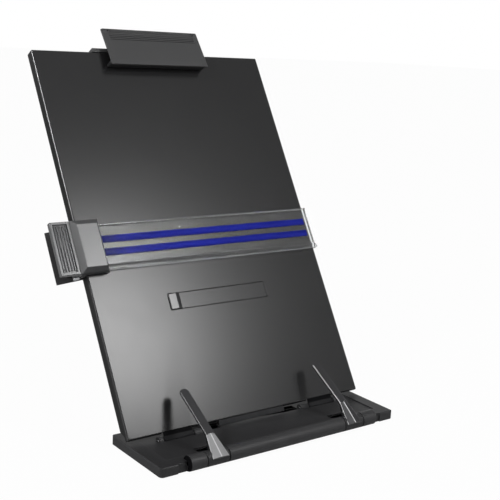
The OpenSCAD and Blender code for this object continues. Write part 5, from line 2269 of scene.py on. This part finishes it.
@dataclass(frozen=True)
class Softbox:
    """A lamp panel that is brightest at its middle and fades towards its edges."""

    name: str
    middle: Spot
    aim: Spot
    reach: Flat
    strength: float
    fade: float = 1.0

    def build(self) -> None:
        """Hangs the panel, facing what it is aimed at."""
        work = bmesh.new()
        bmesh.ops.create_grid(work, x_segments=1, y_segments=1, size=1.0)
        panel = stand(self.name, settled(work, self.name))
        way = (Vector(self.aim) - Vector(self.middle)).normalized()
        turn = way.to_track_quat("Z", "Y").to_matrix().to_4x4()
        size = Matrix.Diagonal((self.reach[0], self.reach[1], 1.0, 1.0))
        panel.matrix_world = Matrix.Translation(self.middle) @ turn @ size
        panel.visible_camera = False
        panel.data.materials.append(self._glow())

    def _glow(self) -> Material:
        """Builds the panel's light, which fades from the middle.

        Returns:
            The material.
        """
        material = bpy.data.materials.new(self.name + "_glow")
        material.use_nodes = True
        nodes, links = material.node_tree.nodes, material.node_tree.links
        nodes.remove(nodes["Principled BSDF"])
        place = nodes.new("ShaderNodeTexCoord")
        ball = nodes.new("ShaderNodeVectorMath")
        ball.operation = "LENGTH"
        fall = nodes.new("ShaderNodeMapRange")
        fall.interpolation_type = "SMOOTHSTEP"
        fill(fall, {"From Min": 1.0, "From Max": 1.0 - self.fade, "To Max": self.strength})
        light = nodes.new("ShaderNodeEmission")
        front = nodes.new("ShaderNodeNewGeometry")
        dark = nodes.new("ShaderNodeEmission")
        dark.inputs["Strength"].default_value = 0.0
        mix = nodes.new("ShaderNodeMixShader")
        links.new(place.outputs["Object"], ball.inputs[0])
        links.new(ball.outputs["Value"], fall.inputs["Value"])
        links.new(fall.outputs["Result"], light.inputs["Strength"])
        links.new(front.outputs["Backfacing"], mix.inputs["Fac"])
        links.new(light.outputs["Emission"], mix.inputs[1])
        links.new(dark.outputs["Emission"], mix.inputs[2])
        links.new(mix.outputs["Shader"], nodes["Material Output"].inputs["Surface"])
        return material


@dataclass(frozen=True)
class Camera:
    """The camera, where the photograph was taken from."""

    eye: Spot = (-0.4782, -0.6128, 0.3164)
    azimuth: float = 37.362
    drop: float = 12.096
    roll: float = 2.879
    lens: float = 70.206
    shift: Flat = (-0.00082, 0.008)
    sensor: float = 36.0
    clip: Flat = (0.01, 60.0)

    def build(self) -> None:
        """Stands the camera and makes it the scene's own."""
        azimuth, drop, roll = (math.radians(v) for v in (self.azimuth, self.drop, self.roll))
        level = math.cos(drop)
        ahead = Vector((math.sin(azimuth) * level, math.cos(azimuth) * level, -math.sin(drop)))
        right = Vector((math.cos(azimuth), -math.sin(azimuth), 0.0))
        up = right.cross(ahead)
        turned_right = math.cos(roll) * right + math.sin(roll) * up
        turned_up = math.cos(roll) * up - math.sin(roll) * right
        camera = stand("camera", bpy.data.cameras.new("camera"))
        camera.data.sensor_width = self.sensor
        camera.data.lens = self.lens
        camera.data.shift_x, camera.data.shift_y = self.shift
        camera.data.clip_start, camera.data.clip_end = self.clip
        basis = Matrix((turned_right, turned_up, -ahead)).transposed()
        camera.matrix_world = Matrix.Translation(self.eye) @ basis.to_4x4()
        bpy.context.scene.camera = camera


@dataclass(frozen=True)
class Room:
    """The white room: its even light and its floor."""

    ambient: float = 0.6
    paper: float = 0.5
    paper_roughness: float = 0.9
    paper_specular: float = 0.1
    floor_glow: float = 0.97
    floor_gloss: float = 0.1
    backdrop_top: Flat = (0.2, 0.45)
    dim_across: Flat = (0.42, 0.66)
    dim_share: float = 0.55
    floor_reach: float = 20.0

    def build(self) -> None:
        """Builds the world and the floor."""
        world = bpy.data.worlds.new("room")
        bpy.context.scene.world = world
        world.use_nodes = True
        tree = world.node_tree
        nodes, links = tree.nodes, tree.links
        room = nodes["Background"]
        fill(room, {"Color": WHITE, "Strength": self.ambient})
        white = nodes.new("ShaderNodeBackground")
        fill(white, {"Color": WHITE})
        path = nodes.new("ShaderNodeLightPath")
        strength = nodes.new("ShaderNodeMix")
        strength.inputs["A"].default_value = 1.0
        rays = path.outputs["Is Glossy Ray"], path.outputs["Is Transmission Ray"]
        links.new(reckoned(tree, "MAXIMUM", *rays), strength.inputs["Factor"])
        links.new(self._mirrored_room(tree), strength.inputs["B"])
        links.new(strength.outputs["Result"], white.inputs["Strength"])
        mix = nodes.new("ShaderNodeMixShader")
        links.new(self._seen(tree, path, 1.0), mix.inputs["Fac"])
        links.new(room.outputs["Background"], mix.inputs[1])
        links.new(white.outputs["Background"], mix.inputs[2])
        links.new(mix.outputs["Shader"], nodes["World Output"].inputs["Surface"])
        self._floor()

    @staticmethod
    def _seen(tree: NodeTree, path: Node, gloss: float) -> NodeSocket:
        """Adds up the rays that see the white background.

        Args:
            tree: the tree.
            path: the light path.
            gloss: the share of the white that mirrored rays see.

        Returns:
            The share of white for the ray.
        """
        mirrored = reckoned(tree, "MULTIPLY", path.outputs["Is Glossy Ray"], gloss)
        direct = reckoned(tree, "MAXIMUM", path.outputs["Is Camera Ray"], mirrored)
        return reckoned(tree, "MAXIMUM", direct, path.outputs["Is Transmission Ray"])

    def _mirrored_room(self, tree: NodeTree) -> NodeSocket:
        """Gives the room as gloss shows it: a white backdrop below a dimmer ceiling.

        Args:
            tree: the world's tree.

        Returns:
            The strength of the room in the ray's direction.
        """
        nodes, links = tree.nodes, tree.links
        place = nodes.new("ShaderNodeTexCoord")
        split = nodes.new("ShaderNodeSeparateXYZ")
        fall = nodes.new("ShaderNodeMapRange")
        low, high = self.backdrop_top
        fill(fall, {"From Min": low, "From Max": high, "To Min": 1.0})
        across = nodes.new("ShaderNodeMapRange")
        near, far = self.dim_across
        dim = self.ambient * self.dim_share
        fill(across, {"From Min": near, "From Max": far, "To Min": self.ambient, "To Max": dim})
        links.new(place.outputs["Generated"], split.inputs["Vector"])
        links.new(split.outputs["X"], across.inputs["Value"])
        links.new(across.outputs["Result"], fall.inputs["To Max"])
        links.new(split.outputs["Z"], fall.inputs["Value"])
        return fall.outputs["Result"]

    def _floor(self) -> None:
        """Lays a plain white floor, which keeps a faint shadow."""
        work = bmesh.new()
        bmesh.ops.create_grid(work, x_segments=1, y_segments=1, size=self.floor_reach)
        floor = stand("floor", settled(work, "floor"))
        material = bpy.data.materials.new("floor_paper")
        material.use_nodes = True
        tree = material.node_tree
        nodes, links = tree.nodes, tree.links
        paper = nodes["Principled BSDF"]
        fill(paper, {"Base Color": (self.paper, self.paper, self.paper, 1.0)})
        fill(paper, {"Roughness": self.paper_roughness, "Specular IOR Level": self.paper_specular})
        glow = nodes.new("ShaderNodeEmission")
        path = nodes.new("ShaderNodeLightPath")
        seen = self._seen(tree, path, self.floor_gloss)
        mix = nodes.new("ShaderNodeMixShader")
        links.new(reckoned(tree, "MULTIPLY", seen, self.floor_glow), mix.inputs["Fac"])
        links.new(paper.outputs["BSDF"], mix.inputs[1])
        links.new(glow.outputs["Emission"], mix.inputs[2])
        links.new(mix.outputs["Shader"], nodes["Material Output"].inputs["Surface"])
        floor.data.materials.append(material)


LAMPS = (
    Softbox(
        "front_softbox", (0.58, -0.917, 1.0035), (-0.1145, 0.0446, 0.0855), (0.24, 0.38), 26.5, 0.9
    ),
    Softbox("side_card", (-1.1, -0.1, 0.87), (-0.12, 0.12, 0.22), (0.1, 0.12), 100.0, 0.3),
)


def main() -> None:
    """Builds the studio and the object's sub-assemblies."""
    logging.basicConfig(level=logging.INFO, format="%(name)s: %(message)s")
    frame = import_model()
    Camera().build()
    Room().build()
    for lamp in LAMPS:
        lamp.build()
    bpy.context.scene.view_settings.view_transform = "Standard"
    shop = Workshop(frame)
    for assembly in (LeaningBoard(), RearStrut(), LowBase(), PageArms(), LineGuide(), TopClip()):
        assembly.build(shop)


if __name__ == "__main__":
    main()
